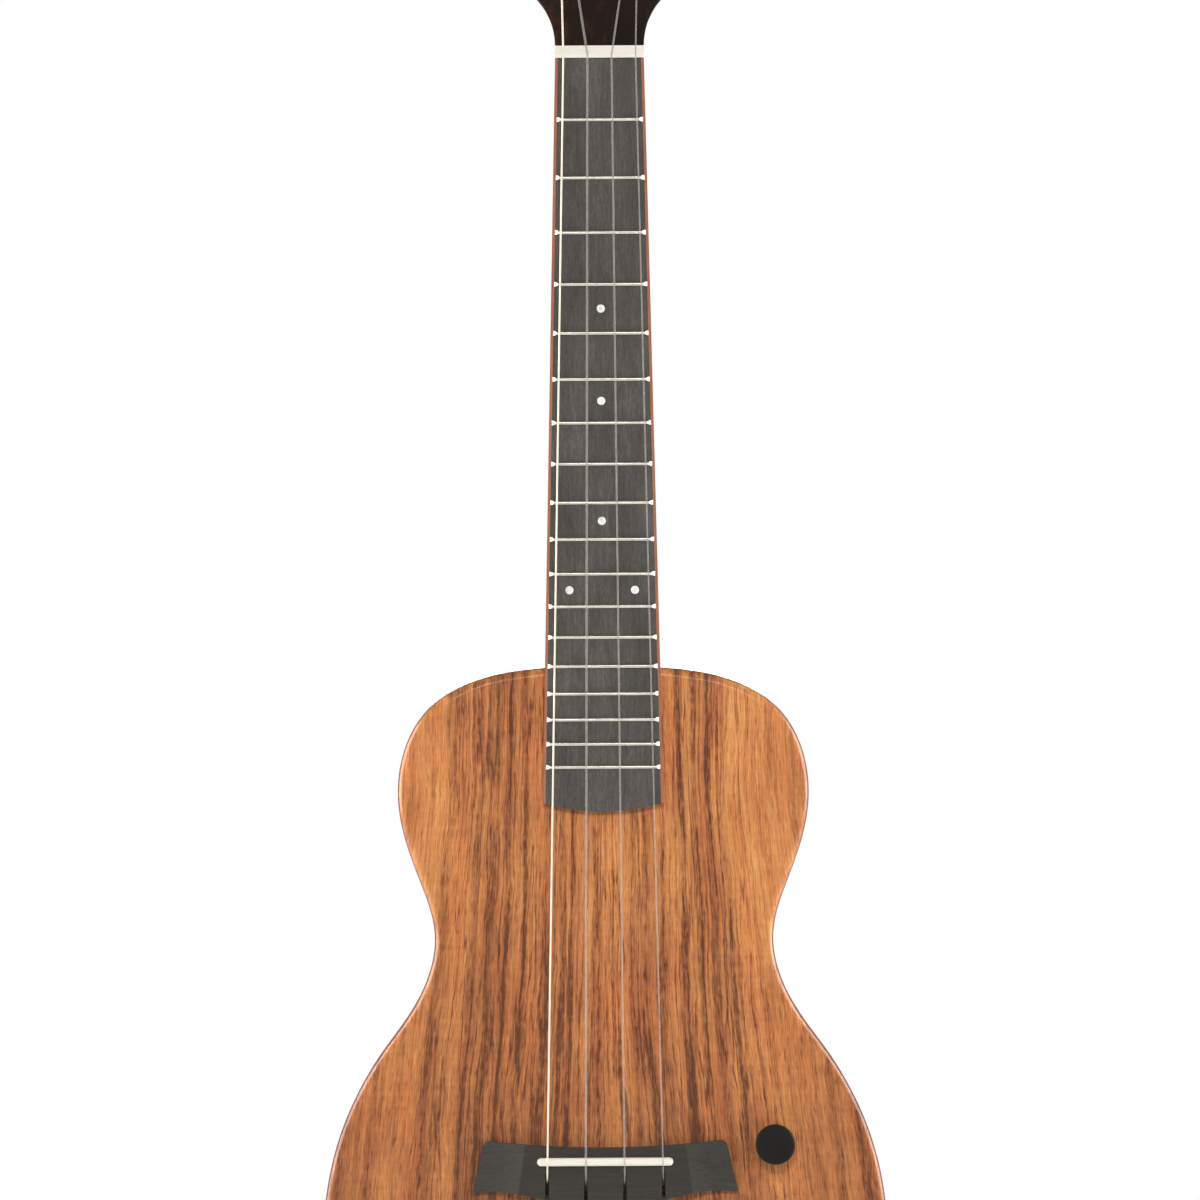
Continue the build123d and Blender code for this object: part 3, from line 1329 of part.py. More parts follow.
with BuildPart() as jack_fixings:
    with BuildSketch(Plane.XY.offset(JACK_FLOOR)):
        Circle(JACK_WASHER_RADIUS)
        Circle(JACK_THREAD + FIXING_PLAY, mode=Mode.SUBTRACT)
    extrude(amount=JACK_WASHER_THICKNESS)
    with BuildSketch(Plane.XY.offset(JACK_FLOOR + JACK_WASHER_THICKNESS + JACK_NUT_GAP)):
        RegularPolygon(JACK_NUT_HALF, 6, major_radius=False)
        Circle(JACK_THREAD + FIXING_PLAY, mode=Mode.SUBTRACT)
    extrude(amount=JACK_NUT_THICKNESS)
write_placed(jack_fixings.part, jack_plane, "jack_fixings")
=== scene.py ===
import math

import bpy
from mathutils import Matrix, Vector


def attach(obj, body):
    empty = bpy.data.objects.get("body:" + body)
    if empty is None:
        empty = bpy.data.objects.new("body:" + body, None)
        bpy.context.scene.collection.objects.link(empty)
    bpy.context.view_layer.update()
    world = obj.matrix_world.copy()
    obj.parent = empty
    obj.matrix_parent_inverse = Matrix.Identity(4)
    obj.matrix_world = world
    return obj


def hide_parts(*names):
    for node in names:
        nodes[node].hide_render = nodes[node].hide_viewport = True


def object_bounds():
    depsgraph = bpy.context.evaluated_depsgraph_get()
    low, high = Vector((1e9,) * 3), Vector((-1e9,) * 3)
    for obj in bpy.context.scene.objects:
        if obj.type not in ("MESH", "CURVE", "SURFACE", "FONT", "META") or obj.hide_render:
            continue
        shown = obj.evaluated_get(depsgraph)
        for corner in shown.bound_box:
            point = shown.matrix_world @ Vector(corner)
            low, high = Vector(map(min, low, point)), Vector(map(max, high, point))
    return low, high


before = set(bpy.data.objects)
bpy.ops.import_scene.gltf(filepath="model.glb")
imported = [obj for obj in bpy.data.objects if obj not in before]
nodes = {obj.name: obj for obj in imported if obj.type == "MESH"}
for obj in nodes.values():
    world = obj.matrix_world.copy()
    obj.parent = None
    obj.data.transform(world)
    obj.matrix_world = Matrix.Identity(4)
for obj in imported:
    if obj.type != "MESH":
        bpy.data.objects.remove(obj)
cad_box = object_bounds()
MM = 0.001

# ---- Sizes shared with the CAD model, in millimetres ----
TILT = math.radians(12.0)
OVERLAY = 2.2
NUT_LENGTH = 4.8
STRING_RADIUS = {"g": 0.40, "c": 0.475, "e": 0.40, "a": 0.325}
STRING_AT_NUT = {"g": -14.2, "c": -4.75, "e": 4.75, "a": 14.2}
STRING_AT_SADDLE = {"g": -22.7, "c": -7.6, "e": 7.6, "a": 22.7}
REAR_AT_STRING = {"g": -449.6, "c": -451.7, "e": -451.7, "a": -449.6}
STRING_H_NUT = 7.35
STRING_Z_NUT = 1.0
STRING_H_SADDLE = 11.2
SADDLE_Z = -434.4
NUT_BEND = 6.0
SADDLE_BEND = 4.0
KNOT_H = 3.4
KNOT_INSET = 2.2
TUNERS = {"g": (-1, 18.1, 40.0), "c": (-1, 20.5, 82.0), "e": (1, 20.5, 82.0), "a": (1, 18.1, 40.0)}
POST_WAIST = 2.6
STRING_LEVEL = 4.6
POST_HOLE_S = 9.8
COIL_TURNS = 4
# a string's way over its post's shoulder, into the hole and out of it
SHOULDER_STEP = 0.5
HOLE_ENTRY = 2.2
HOLE_EXIT = 5.4


# =====================================================================================
# Node helpers
# =====================================================================================


class Nodes:
    """One material's node tree, with a short call for each kind of node that is used."""

    def __init__(self, name, **constants):
        self.material = bpy.data.materials.new(name)
        self.material.use_nodes = True
        self.tree = self.material.node_tree
        self.shader = self.tree.nodes["Principled BSDF"]
        for socket, value in constants.items():
            self.shader.inputs[socket.replace("_", " ")].default_value = value

    def add(self, kind, **settings):
        node = self.tree.nodes.new(kind)
        for key, value in settings.items():
            setattr(node, key, value)
        return node

    def feed(self, socket, value):
        """Link an output to a socket, or set the socket to a constant."""
        if isinstance(value, bpy.types.NodeSocket):
            self.tree.links.new(value, socket)
        else:
            socket.default_value = value

    def axes(self):
        """The place on the object along X, Y and Z, in millimetres."""
        place = self.add("ShaderNodeTexCoord").outputs["Object"]
        scaled = self.add("ShaderNodeVectorMath", operation="SCALE")
        self.feed(scaled.inputs[0], place)
        scaled.inputs["Scale"].default_value = 1 / MM
        split = self.add("ShaderNodeSeparateXYZ")
        self.feed(split.inputs[0], scaled.outputs[0])
        return split.outputs[0], split.outputs[1], split.outputs[2]

    def math(self, operation, a, b=0.0, c=0.0, clamp=False):
        node = self.add("ShaderNodeMath", operation=operation, use_clamp=clamp)
        for socket, value in zip(node.inputs, (a, b, c)):
            self.feed(socket, value)
        return node.outputs[0]

    def noise(self, axes, sizes, seed=0.0, detail=2.0, roughness=0.5):
        """Noise from 0 to 1, with features of about these sizes along the three axes."""
        place = self.add("ShaderNodeCombineXYZ")
        for socket, axis, size in zip(place.inputs, axes, sizes):
            self.feed(socket, self.math("MULTIPLY_ADD", axis, 1 / size, seed))
        node = self.add("ShaderNodeTexNoise")
        node.inputs["Scale"].default_value = 1.0
        node.inputs["Detail"].default_value = detail
        node.inputs["Roughness"].default_value = roughness
        self.feed(node.inputs["Vector"], place.outputs[0])
        return node.outputs[0]

    def swing(self, value, amount):
        """A noise from 0 to 1 turned into one about zero."""
        return self.math("MULTIPLY_ADD", value, amount, -amount / 2)

    def span(self, value, low, high, to_low=0.0, to_high=1.0, smooth=True):
        """Map a value from one range to another, held at the ends."""
        kind = "SMOOTHSTEP" if smooth else "LINEAR"
        node = self.add("ShaderNodeMapRange", interpolation_type=kind, clamp=True)
        for socket, number in zip(node.inputs, (value, low, high, to_low, to_high)):
            self.feed(socket, number)
        return node.outputs[0]

    def ramp(self, factor, stops, interpolation="LINEAR"):
        """A colour ramp; a stop is (place, grey) or (place, (r, g, b))."""
        node = self.add("ShaderNodeValToRGB")
        ramp = node.color_ramp
        ramp.interpolation = interpolation
        while len(ramp.elements) < len(stops):
            ramp.elements.new(1.0)
        for element, (place, colour) in zip(ramp.elements, stops):
            element.position = place
            if not isinstance(colour, tuple):
                colour = (colour, colour, colour)
            element.color = (*colour, 1.0)
        self.feed(node.inputs[0], factor)
        return node.outputs[0]

    def mix(self, factor, a, b, blend="MIX"):
        node = self.add("ShaderNodeMix", data_type="RGBA", blend_type=blend)
        self.feed(node.inputs[0], factor)
        for socket, value in ((node.inputs[6], a), (node.inputs[7], b)):
            if isinstance(value, tuple):
                value = (*value, 1.0)
            self.feed(socket, value)
        return node.outputs[2]

    def colour(self, value):
        self.feed(self.shader.inputs["Base Color"], value)

    def roughness(self, value):
        self.feed(self.shader.inputs["Roughness"], value)

    def bump(self, height, depth):
        """Raise the surface by height times depth, in millimetres."""
        node = self.add("ShaderNodeBump")
        node.inputs["Strength"].default_value = 1.0
        node.inputs["Distance"].default_value = depth * MM
        self.feed(node.inputs["Height"], height)
        self.feed(self.shader.inputs["Normal"], node.outputs[0])


def dress(material, *names):
    """Give CAD nodes their material."""
    for name in names:
        mesh = nodes[name].data
        mesh.materials.clear()
        mesh.materials.append(material)


# =====================================================================================
# Wood
# =====================================================================================

FAN_START = -290.0
FAN_RATE = 0.0017
HALF_BAND = 120.0
WOOD_TONES = [
    (0.00, (0.112, 0.037, 0.014)),
    (0.20, (0.195, 0.064, 0.022)),
    (0.40, (0.325, 0.112, 0.036)),
    (0.58, (0.470, 0.176, 0.055)),
    (0.76, (0.620, 0.255, 0.076)),
    (1.00, (0.800, 0.395, 0.140)),
]
# colour of the painted shade round the edge of the face
PAINTED_EDGE_SHADE = (0.150, 0.046, 0.026)
# tone of the broad bands: (place across, tone)
BANDS = [
    (-116, 0.48),
    (-100, 0.52),
    (-84, 0.60),
    (-72, 0.68),
    (-60, 0.70),
    (-55, 0.58),
    (-51, 0.70),
    (-46, 0.55),
    (-38, 0.54),
    (-27, 0.64),
    (-20, 0.56),
    (-9, 0.68),
    (-1, 0.64),
    (5, 0.76),
    (11, 0.62),
    (21, 0.62),
    (32, 0.68),
    (38, 0.61),
    (45, 0.65),
    (52, 0.76),
    (60, 0.72),
    (72, 0.65),
    (84, 0.59),
    (100, 0.53),
    (116, 0.48),
]
# dark streaks: (place across, half width, darkness)
BASS_STREAKS = [
    (-84.0, 2.0, 0.28),
    (-75.0, 1.6, 0.14),
    (-58.0, 2.2, 0.16),
    (-47.0, 1.5, 0.24),
    (-41.0, 1.5, 0.32),
    (-35.6, 1.3, 0.38),
    (-29.6, 1.3, 0.44),
    (-21.8, 1.8, 0.30),
    (-15.6, 1.2, 0.26),
    (-11.8, 1.3, 0.34),
]
TREBLE_STREAKS = [
    (-2.0, 1.4, 0.22),
    (10.8, 1.2, 0.26),
    (16.0, 1.4, 0.36),
    (22.5, 1.2, 0.16),
    (29.4, 1.4, 0.44),
    (35.2, 1.4, 0.40),
    (40.5, 1.8, 0.28),
    (46.0, 1.6, 0.20),
    (74.0, 1.8, 0.18),
    (82.0, 2.0, 0.30),
]


def band_place(at):
    """A place across the body as a ramp position from 0 to 1."""
    return (at + HALF_BAND) / (2 * HALF_BAND)


def streak_stops(streaks):
    """Ramp stops for a row of dark streaks, each with a soft flank on both sides."""
    stops = []
    for place, half, darkness in streaks:
        for offset, level in ((-half, 0.0), (0.0, darkness), (half, 0.0)):
            stops.append((band_place(place + offset), level))
    return stops


def figured_wood(name, seed, shift, depth):
    """Figured wood: bands and ragged dark streaks that fan out to the tail, fibres, pores and curl."""
    wood = Nodes(name, Specular_IOR_Level=0.15, Coat_Weight=0.8, Coat_Roughness=0.18)
    x, y, z = wood.axes()
    below = wood.math("MAXIMUM", wood.math("SUBTRACT", FAN_START, z), 0.0)
    fan = wood.math("MULTIPLY_ADD", below, FAN_RATE, 1.0)
    across = wood.math("DIVIDE", wood.math("ADD", x, shift), fan)
    slow = wood.noise((across, y, z), (34, 60, 110), seed + 3.1, 1.0)
    quick = wood.noise((across, y, z), (6, 12, 20), seed + 7.7, 1.0)
    ragged = wood.noise((across, y, z), (1.6, 6, 7), seed + 9.3, 2.0)
    wandering = wood.math("ADD", wood.swing(slow, 5.0), wood.swing(quick, 1.6))
    wandering = wood.math("ADD", wandering, wood.swing(ragged, 0.7))
    u = wood.math("ADD", across, wandering)
    place = wood.math("MULTIPLY_ADD", u, 1 / (2 * HALF_BAND), 0.5)
    band = wood.ramp(place, [(band_place(at), tone) for at, tone in BANDS], "B_SPLINE")
    # the named streaks, strong in places and broken into beads
    bass = wood.ramp(place, streak_stops(BASS_STREAKS))
    treble = wood.ramp(place, streak_stops(TREBLE_STREAKS))
    patch = wood.noise((u, y, z), (7, 20, 26), seed + 1.3, 3.0)
    beads = wood.noise((u, y, z), (1.5, 6, 4.0), seed + 2.2, 2.0, 0.6)
    pores = wood.noise((u, y, z), (0.5, 1.5, 5.5), seed + 23.0, 1.0)
    broken = wood.span(beads, 0.32, 0.62, 0.65, 1.15)
    broken = wood.math("MULTIPLY", broken, wood.span(pores, 0.36, 0.62, 0.75, 1.25))
    strength = wood.math("MULTIPLY", wood.span(patch, 0.32, 0.60, 0.45, 1.35), broken)
    streaks = wood.math("MULTIPLY", wood.math("ADD", bass, treble), strength)
    # lesser streaks between them, fading towards the outer bouts
    lesser = wood.span(wood.noise((u, y, z), (1.4, 20, 110), seed + 5.9, 3.0, 0.6), 0.50, 0.72)
    contours = wood.noise((u, y, z), (4.0, 20, 130), seed + 31.0, 2.0, 0.5)
    contours = wood.math("SUBTRACT", contours, 0.5)
    lines = wood.span(wood.math("ABSOLUTE", contours), 0.0, 0.03, 0.9, 0.0)
    lesser = wood.math("MAXIMUM", lesser, lines)
    middle = wood.span(wood.math("ABSOLUTE", u), 46.0, 66.0, 0.42, 0.17)
    middle = wood.math("MULTIPLY", middle, broken)
    streaks = wood.math("MULTIPLY_ADD", lesser, middle, streaks)
    fibre = wood.noise((u, y, z), (0.95, 3.0, 46), seed + 11.0, 3.0, 0.65)
    thread = wood.noise((u, y, z), (0.55, 1.5, 7.5), seed + 13.0, 3.0, 0.65)
    curl = wood.noise((across, y, z), (13, 30, 1.9), seed + 17.0, 2.0)
    cloud = wood.noise((across, y, z), (9, 34, 38), seed + 19.0, 3.0)
    # painted shade: the wood is darker towards the tail and a little lighter towards the neck, for the
    # key light from above
    tone = wood.math("ADD", band, wood.span(z, -460.0, -290.0, -0.17, 0.04, smooth=False))
    for pattern, amount in ((fibre, 0.54), (thread, 0.68), (curl, 0.14), (cloud, 0.46)):
        tone = wood.math("ADD", tone, wood.swing(pattern, amount))
    tone = wood.math("MULTIPLY_ADD", streaks, -depth, tone)
    pore = wood.span(pores, 0.56, 0.70)
    tone = wood.math("MULTIPLY_ADD", pore, -0.16 * depth, tone, clamp=True)
    colour = wood.ramp(tone, WOOD_TONES)
    ruddy = wood.span(wood.noise((u, y, z), (7, 30, 50), seed + 29.0, 2.0), 0.42, 0.64, 0.0, 0.6)
    colour = wood.mix(ruddy, colour, (0.97, 0.79, 0.80), "MULTIPLY")
    # painted shade round the edge of the face, where the roundover turns away from the light, fading
    # out down the sides
    rim = wood.math("MULTIPLY", wood.span(y, 1.2, 2.0), wood.span(y, 5.0, 13.0, 0.85, 0.0))
    wood.colour(wood.mix(rim, colour, PAINTED_EDGE_SHADE))
    wood.roughness(wood.span(fibre, 0.3, 0.7, 0.50, 0.60, smooth=False))
    relief = wood.math("MULTIPLY_ADD", pore, -0.8, wood.math("MULTIPLY", fibre, 0.5))
    wood.bump(relief, 0.05)
    return wood.material


def straight_wood(name, seed, tones, sizes=(0.8, 2.0, 40), swings=(0.5, 0.3, 0.25), pores=0.2,
                  specular=0.25, stained=False, painted_wing_light_from=None):
    """Plain straight-grained wood: fibres, slow bands and fine pores along its longest size."""
    wood = Nodes(name, Specular_IOR_Level=specular)
    axes = wood.axes()
    fine, deep, long = sizes
    fibre = wood.noise(axes, (fine, deep, long), seed + 1.0, 4.0, 0.6)
    thread = wood.noise(axes, (fine * 0.35, deep * 0.5, long * 0.2), seed + 5.0, 2.0, 0.6)
    band = wood.noise(axes, (fine * 9, deep * 8, long * 4), seed + 9.0, 2.0)
    tone = wood.math("ADD", wood.swing(fibre, swings[0]), wood.swing(thread, swings[1]))
    tone = wood.math("ADD", tone, wood.swing(band, swings[2]))
    tone = wood.math("ADD", tone, 0.5)
    pore = wood.noise(axes, (fine * 0.4, deep * 0.6, long * 0.08), seed + 13.0, 1.0)
    pore = wood.span(pore, 0.63, 0.75)
    tone = wood.math("MULTIPLY_ADD", pore, -pores, tone, clamp=True)
    if painted_wing_light_from:
        # painted light on the wings, which slope below the top and catch more of the lamps
        lighter = wood.span(axes[1], painted_wing_light_from, painted_wing_light_from + 0.25, 0.0, 0.15)
        tone = wood.math("ADD", tone, lighter, clamp=True)
    colour = wood.ramp(tone, tones)
    if stained:
        # dark stain on the headstock's sides, fading out towards its back
        behind = wood.math("MULTIPLY", axes[1], math.cos(TILT))
        behind = wood.math("MULTIPLY_ADD", axes[2], -math.sin(TILT), behind)
        on_head = wood.span(axes[2], 3.0, 6.0)
        stain = wood.math("MULTIPLY", on_head, wood.span(behind, 4.0, 12.0, 1.0, 0.0))
        colour = wood.mix(stain, colour, VENEER_TONES[1][1])
    wood.colour(colour)
    wood.roughness(wood.span(fibre, 0.3, 0.7, 0.5, 0.6, smooth=False))
    relief = wood.math("MULTIPLY_ADD", pore, -0.7, wood.math("MULTIPLY", fibre, 0.6))
    wood.bump(relief, 0.04)
    return wood.material


NECK_TONES = [
    (0.0, (0.120, 0.042, 0.022)),
    (0.5, (0.300, 0.115, 0.055)),
    (1.0, (0.480, 0.210, 0.100)),
]
BOARD_TONES = [
    (0.0, (0.022, 0.019, 0.016)),
    (0.5, (0.074, 0.066, 0.059)),
    (1.0, (0.165, 0.150, 0.135)),
]
BRIDGE_TONES = [
    (0.0, (0.014, 0.012, 0.010)),
    (0.5, (0.036, 0.032, 0.027)),
    (1.0, (0.078, 0.072, 0.064)),
]
VENEER_TONES = [
    (0.0, (0.006, 0.003, 0.002)),
    (0.5, (0.014, 0.008, 0.006)),
    (1.0, (0.100, 0.034, 0.018)),
]
BINDING_TONES = [
    (0.0, (0.170, 0.052, 0.026)),
    (0.5, (0.340, 0.130, 0.066)),
    (1.0, (0.500, 0.235, 0.125)),
]

cap_wood = figured_wood("cap_wood", 0.0, 0.0, 1.0)
core_wood = figured_wood("core_wood", 41.0, 17.0, 0.8)
neck_wood = straight_wood("neck_wood", 3.0, NECK_TONES, stained=True)
board_wood = straight_wood("board_wood", 5.0, BOARD_TONES, (0.9, 1.5, 9), (0.6, 0.6, 0.5), pores=0.35)
bridge_wood = straight_wood(
    "bridge_wood", 7.0, BRIDGE_TONES, (14, 1.2, 0.7), (0.5, 0.4, 0.1), painted_wing_light_from=-7.7
)
veneer_wood = straight_wood(
    "veneer_wood", 9.0, VENEER_TONES, (3.2, 2.0, 90), (0.6, 0.2, 0.9), specular=0.12
)
binding_wood = straight_wood("binding_wood", 11.0, BINDING_TONES, (0.7, 1.2, 12), (0.6, 0.5, 0.4))

dress(cap_wood, "body_cap")
dress(core_wood, "body_core")
dress(neck_wood, "neck")
dress(board_wood, "fretboard")
dress(bridge_wood, "bridge")
dress(veneer_wood, "headstock_overlay")
dress(binding_wood, "fretboard_binding")


# =====================================================================================
# Metals, plastics, bone and the rest
# =====================================================================================


def metal(name, colour, gloss, grain=(0.4, 0.4, 0.4), relief=0.01):
    """Metal with fine marks that change its gloss, and a little tarnish."""
    made = Nodes(name, Metallic=1.0)
    axes = made.axes()
    marks = made.noise(axes, grain, 2.0, 3.0, 0.6)
    tarnish = made.noise(axes, (7, 7, 7), 4.0, 3.0)
    darker = tuple(0.82 * c for c in colour)
    made.colour(made.mix(made.span(tarnish, 0.35, 0.7), colour, darker))
    made.roughness(made.span(marks, 0.3, 0.7, *gloss, smooth=False))
    made.bump(marks, relief)
    return made.material


def plastic(name, colour, lighter, gloss, grain=0.35, depth=0.02, **constants):
    """Moulded plastic: an even colour with a faint cloud in it, and a fine skin texture."""
    made = Nodes(name, **constants)
    axes = made.axes()
    skin = made.noise(axes, (grain, grain, grain), 1.0, 3.0, 0.6)
    cloud = made.noise(axes, (9, 9, 9), 6.0, 2.0)
    made.colour(made.mix(made.span(cloud, 0.3, 0.7), colour, lighter))
    made.roughness(made.span(skin, 0.3, 0.7, *gloss, smooth=False))
    made.bump(skin, depth)
    return made.material


def bone(name, colour, darker):
    """Bleached bone: faint streaks along X and small darker pores."""
    made = Nodes(name, Subsurface_Weight=0.15, Subsurface_Scale=0.001)
    axes = made.axes()
    streak = made.noise(axes, (6, 0.5, 0.5), 3.0, 3.0, 0.6)
    pore = made.span(made.noise(axes, (0.5, 0.25, 0.25), 8.0, 1.0), 0.66, 0.76)
    shade = made.math("ADD", made.span(streak, 0.4, 0.75, 0.0, 0.6), pore, clamp=True)
    made.colour(made.mix(shade, colour, darker))
    made.roughness(made.span(streak, 0.3, 0.7, 0.3, 0.42, smooth=False))
    made.bump(made.math("MULTIPLY", pore, -1.0), 0.02)
    return made.material


def pearl(name):
    """Inlay dots with a soft cloudy sheen."""
    made = Nodes(name, Coat_Weight=0.4, Coat_Roughness=0.15)
    axes = made.axes()
    cloud = made.noise(axes, (1.2, 1.2, 2.4), 5.0, 3.0, 0.6)
    tones = [(0.3, (0.62, 0.61, 0.56)), (0.5, (0.80, 0.79, 0.74)), (0.7, (0.88, 0.88, 0.86))]
    made.colour(made.ramp(cloud, tones))
    made.roughness(made.span(cloud, 0.3, 0.7, 0.25, 0.4, smooth=False))
    return made.material


def carbon(name):
    """A pultruded rod: dark fibres along Z."""
    made = Nodes(name)
    fibre = made.noise(made.axes(), (0.2, 0.2, 30), 2.0, 3.0, 0.6)
    made.colour(made.ramp(fibre, [(0.3, (0.010, 0.010, 0.011)), (0.7, (0.045, 0.045, 0.048))]))
    made.roughness(made.span(fibre, 0.3, 0.7, 0.25, 0.45, smooth=False))
    made.bump(fibre, 0.02)
    return made.material


def board_green(name):
    """A circuit board: green mask with paler copper runs under it."""
    made = Nodes(name, Coat_Weight=0.5, Coat_Roughness=0.2)
    x, y, z = made.axes()
    runs = made.add("ShaderNodeTexBrick")
    place = made.add("ShaderNodeCombineXYZ")
    made.feed(place.inputs[0], x)
    made.feed(place.inputs[1], z)
    made.feed(runs.inputs["Vector"], place.outputs[0])
    sizes = {"Scale": 0.35, "Mortar Size": 0.06, "Brick Width": 1.1, "Row Height": 0.5}
    for socket, value in sizes.items():
        runs.inputs[socket].default_value = value
    made.colour(made.mix(runs.outputs["Fac"], (0.010, 0.085, 0.030), (0.030, 0.180, 0.060)))
    made.roughness(made.span(made.noise((x, y, z), (2, 2, 2), 1.0), 0.3, 0.7, 0.3, 0.45, smooth=False))
    return made.material


NICKEL = (0.72, 0.71, 0.69)
BRASS = (0.78, 0.57, 0.25)
STEEL = (0.60, 0.59, 0.57)
FRET_SILVER = (0.72, 0.68, 0.60)

frets = metal("fret_metal", FRET_SILVER, (0.20, 0.25), grain=(5, 2, 2), relief=0.002)
nickel = metal("tuner_metal", NICKEL, (0.16, 0.28))
brass = metal("gear_brass", BRASS, (0.28, 0.42))
steel = metal("steel_parts", STEEL, (0.25, 0.4))
jack = metal("jack_metal", NICKEL, (0.2, 0.32))
black_screw = metal("screw_black", (0.035, 0.034, 0.034), (0.35, 0.5))
knob_black = plastic(
    "knob_black", (0.008, 0.007, 0.006), (0.011, 0.009, 0.008), (0.56, 0.68), Specular_IOR_Level=0.2
)
button_black = plastic("button_black", (0.012, 0.011, 0.011), (0.018, 0.017, 0.016), (0.22, 0.34))
cover_black = plastic(
    "cover_plastic", (0.016, 0.016, 0.017), (0.022, 0.022, 0.023), (0.5, 0.66), depth=0.06
)
snap_black = plastic("snap_black", (0.014, 0.014, 0.014), (0.020, 0.020, 0.020), (0.55, 0.7))
wire_skin = plastic("wire_skin", (0.120, 0.012, 0.010), (0.180, 0.020, 0.016), (0.4, 0.55))
battery_skin = plastic("battery_skin", (0.030, 0.032, 0.036), (0.050, 0.052, 0.058), (0.25, 0.4))
piezo = plastic("piezo", (0.100, 0.100, 0.110), (0.140, 0.140, 0.150), (0.35, 0.5))
bone_white = bone("bone", (0.800, 0.755, 0.670), (0.740, 0.680, 0.580))

dress(frets, "frets")
dress(pearl("dot_inlay"), "position_dots")
dress(carbon("carbon"), "neck_rod")
dress(bone_white, "nut", "saddle")
dress(piezo, "saddle_pickup")
dress(board_green("board_green"), "preamp_board")
dress(battery_skin, "battery")
dress(snap_black, "battery_snap")
dress(wire_skin, "wiring")
dress(cover_black, "cavity_cover")
dress(black_screw, "cover_screws")
dress(knob_black, "volume_knob")
dress(steel, "pot_case", "pot_fixings", "pot_shaft", "jack_fixings")
dress(jack, "jack_barrel", "strap_button")
dress(nickel, "tuner_bushings", "tuner_screws")
for name in TUNERS:
    dress(nickel, "post_" + name, "worm_" + name, "tuner_base_" + name, "gear_screw_" + name)
    dress(brass, "gear_" + name)
    dress(button_black, "button_" + name)


# =====================================================================================
# Strings
# =====================================================================================

HEAD_T = Vector((0, math.sin(TILT), math.cos(TILT)))
HEAD_S = Vector((0, -math.cos(TILT), math.sin(TILT)))
HEAD_ORIGIN = Vector((0, 0, NUT_LENGTH)) + OVERLAY * HEAD_S


def head_point(x, t, s):
    """A point of the headstock, in millimetres: across, up along its face, and out of its face."""
    return HEAD_ORIGIN + Vector((x, 0, 0)) + t * HEAD_T + s * HEAD_S


def rounded(points, radii, step):
    """A path of straight runs joined by arcs, as points no further apart than step on the arcs."""
    path = [points[0]]
    for before, corner, after, radius in zip(points, points[1:], points[2:], radii):
        arriving = (corner - before).normalized()
        leaving = (after - corner).normalized()
        turn = arriving.angle(leaving)
        setback = radius * math.tan(turn / 2)
        start = corner - setback * arriving
        inward = (leaving - arriving * leaving.dot(arriving)).normalized()
        count = max(2, math.ceil(radius * turn / step))
        for i in range(count + 1):
            angle = turn * i / count
            path.append(start + radius * (math.sin(angle) * arriving + (1 - math.cos(angle)) * inward))
    path.append(points[-1])
    return path


def divided(path, step):
    """The same path with its runs divided into equal lengths of at most step."""
    points = [path[0]]
    for a, b in zip(path, path[1:]):
        count = max(1, math.ceil((b - a).length / step))
        points += [a.lerp(b, i / count) for i in range(1, count + 1)]
    return points


def tube(name, path, radius, sides, body, material, wound=0.0):
    """A closed tube along a path in millimetres, which may have a winding's grooves around it."""
    vertices, faces = [], []
    side_way = None
    for i, point in enumerate(path):
        along = (path[min(i + 1, len(path) - 1)] - path[max(i - 1, 0)]).normalized()
        if side_way is None:
            side_way = along.orthogonal().normalized()
        side_way = (side_way - along * side_way.dot(along)).normalized()
        other = along.cross(side_way)
        here = radius - (wound if i % 2 else 0.0)
        for k in range(sides):
            angle = 2 * math.pi * k / sides
            ray = math.cos(angle) * side_way + math.sin(angle) * other
            vertices.append(MM * (point + here * ray))
    for i in range(len(path) - 1):
        for k in range(sides):
            a, b = i * sides + k, i * sides + (k + 1) % sides
            faces.append((a, b, b + sides, a + sides))
    faces.append(tuple(reversed(range(sides))))
    faces.append(tuple(range((len(path) - 1) * sides, len(path) * sides)))
    mesh = bpy.data.meshes.new(name)
    mesh.from_pydata(vertices, [], faces)
    mesh.shade_smooth()
    piece = bpy.data.objects.new(name, mesh)
    bpy.context.scene.collection.objects.link(piece)
    mesh.materials.append(material)
    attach(piece, body)
    return piece


def string_corners(name):
    """Knot, saddle crown, nut edge and the point where the string meets its winding."""
    side, post_x, post_t = TUNERS[name]
    nut = Vector((STRING_AT_NUT[name], -STRING_H_NUT, STRING_Z_NUT))
    crown = Vector((STRING_AT_SADDLE[name], -STRING_H_SADDLE, SADDLE_Z))
    fan = (crown.x - nut.x) / (nut.z - crown.z)
    knot_z = REAR_AT_STRING[name] + KNOT_INSET
    knot = Vector((crown.x + fan * (crown.z - knot_z), -KNOT_H, knot_z))
    winding = POST_WAIST + STRING_RADIUS[name]
    from_origin = nut - HEAD_ORIGIN
    start = Vector((from_origin.x, from_origin.dot(HEAD_T)))
    to_post = Vector((side * post_x, post_t)) - start
    heading = to_post.normalized()
    heading.rotate(Matrix.Rotation(side * math.asin(winding / to_post.length), 2))
    end = start + heading * math.sqrt(to_post.length**2 - winding**2)
    return knot, crown, nut, head_point(end.x, end.y, STRING_LEVEL)


def post_axes(name):
    """A post's centre at the headstock's face, and its directions outward, across and up the post."""
    side, post_x, post_t = TUNERS[name]
    outward = Vector((side, 0, 0))
    return head_point(side * post_x, post_t, 0), outward, HEAD_S.cross(outward), HEAD_S


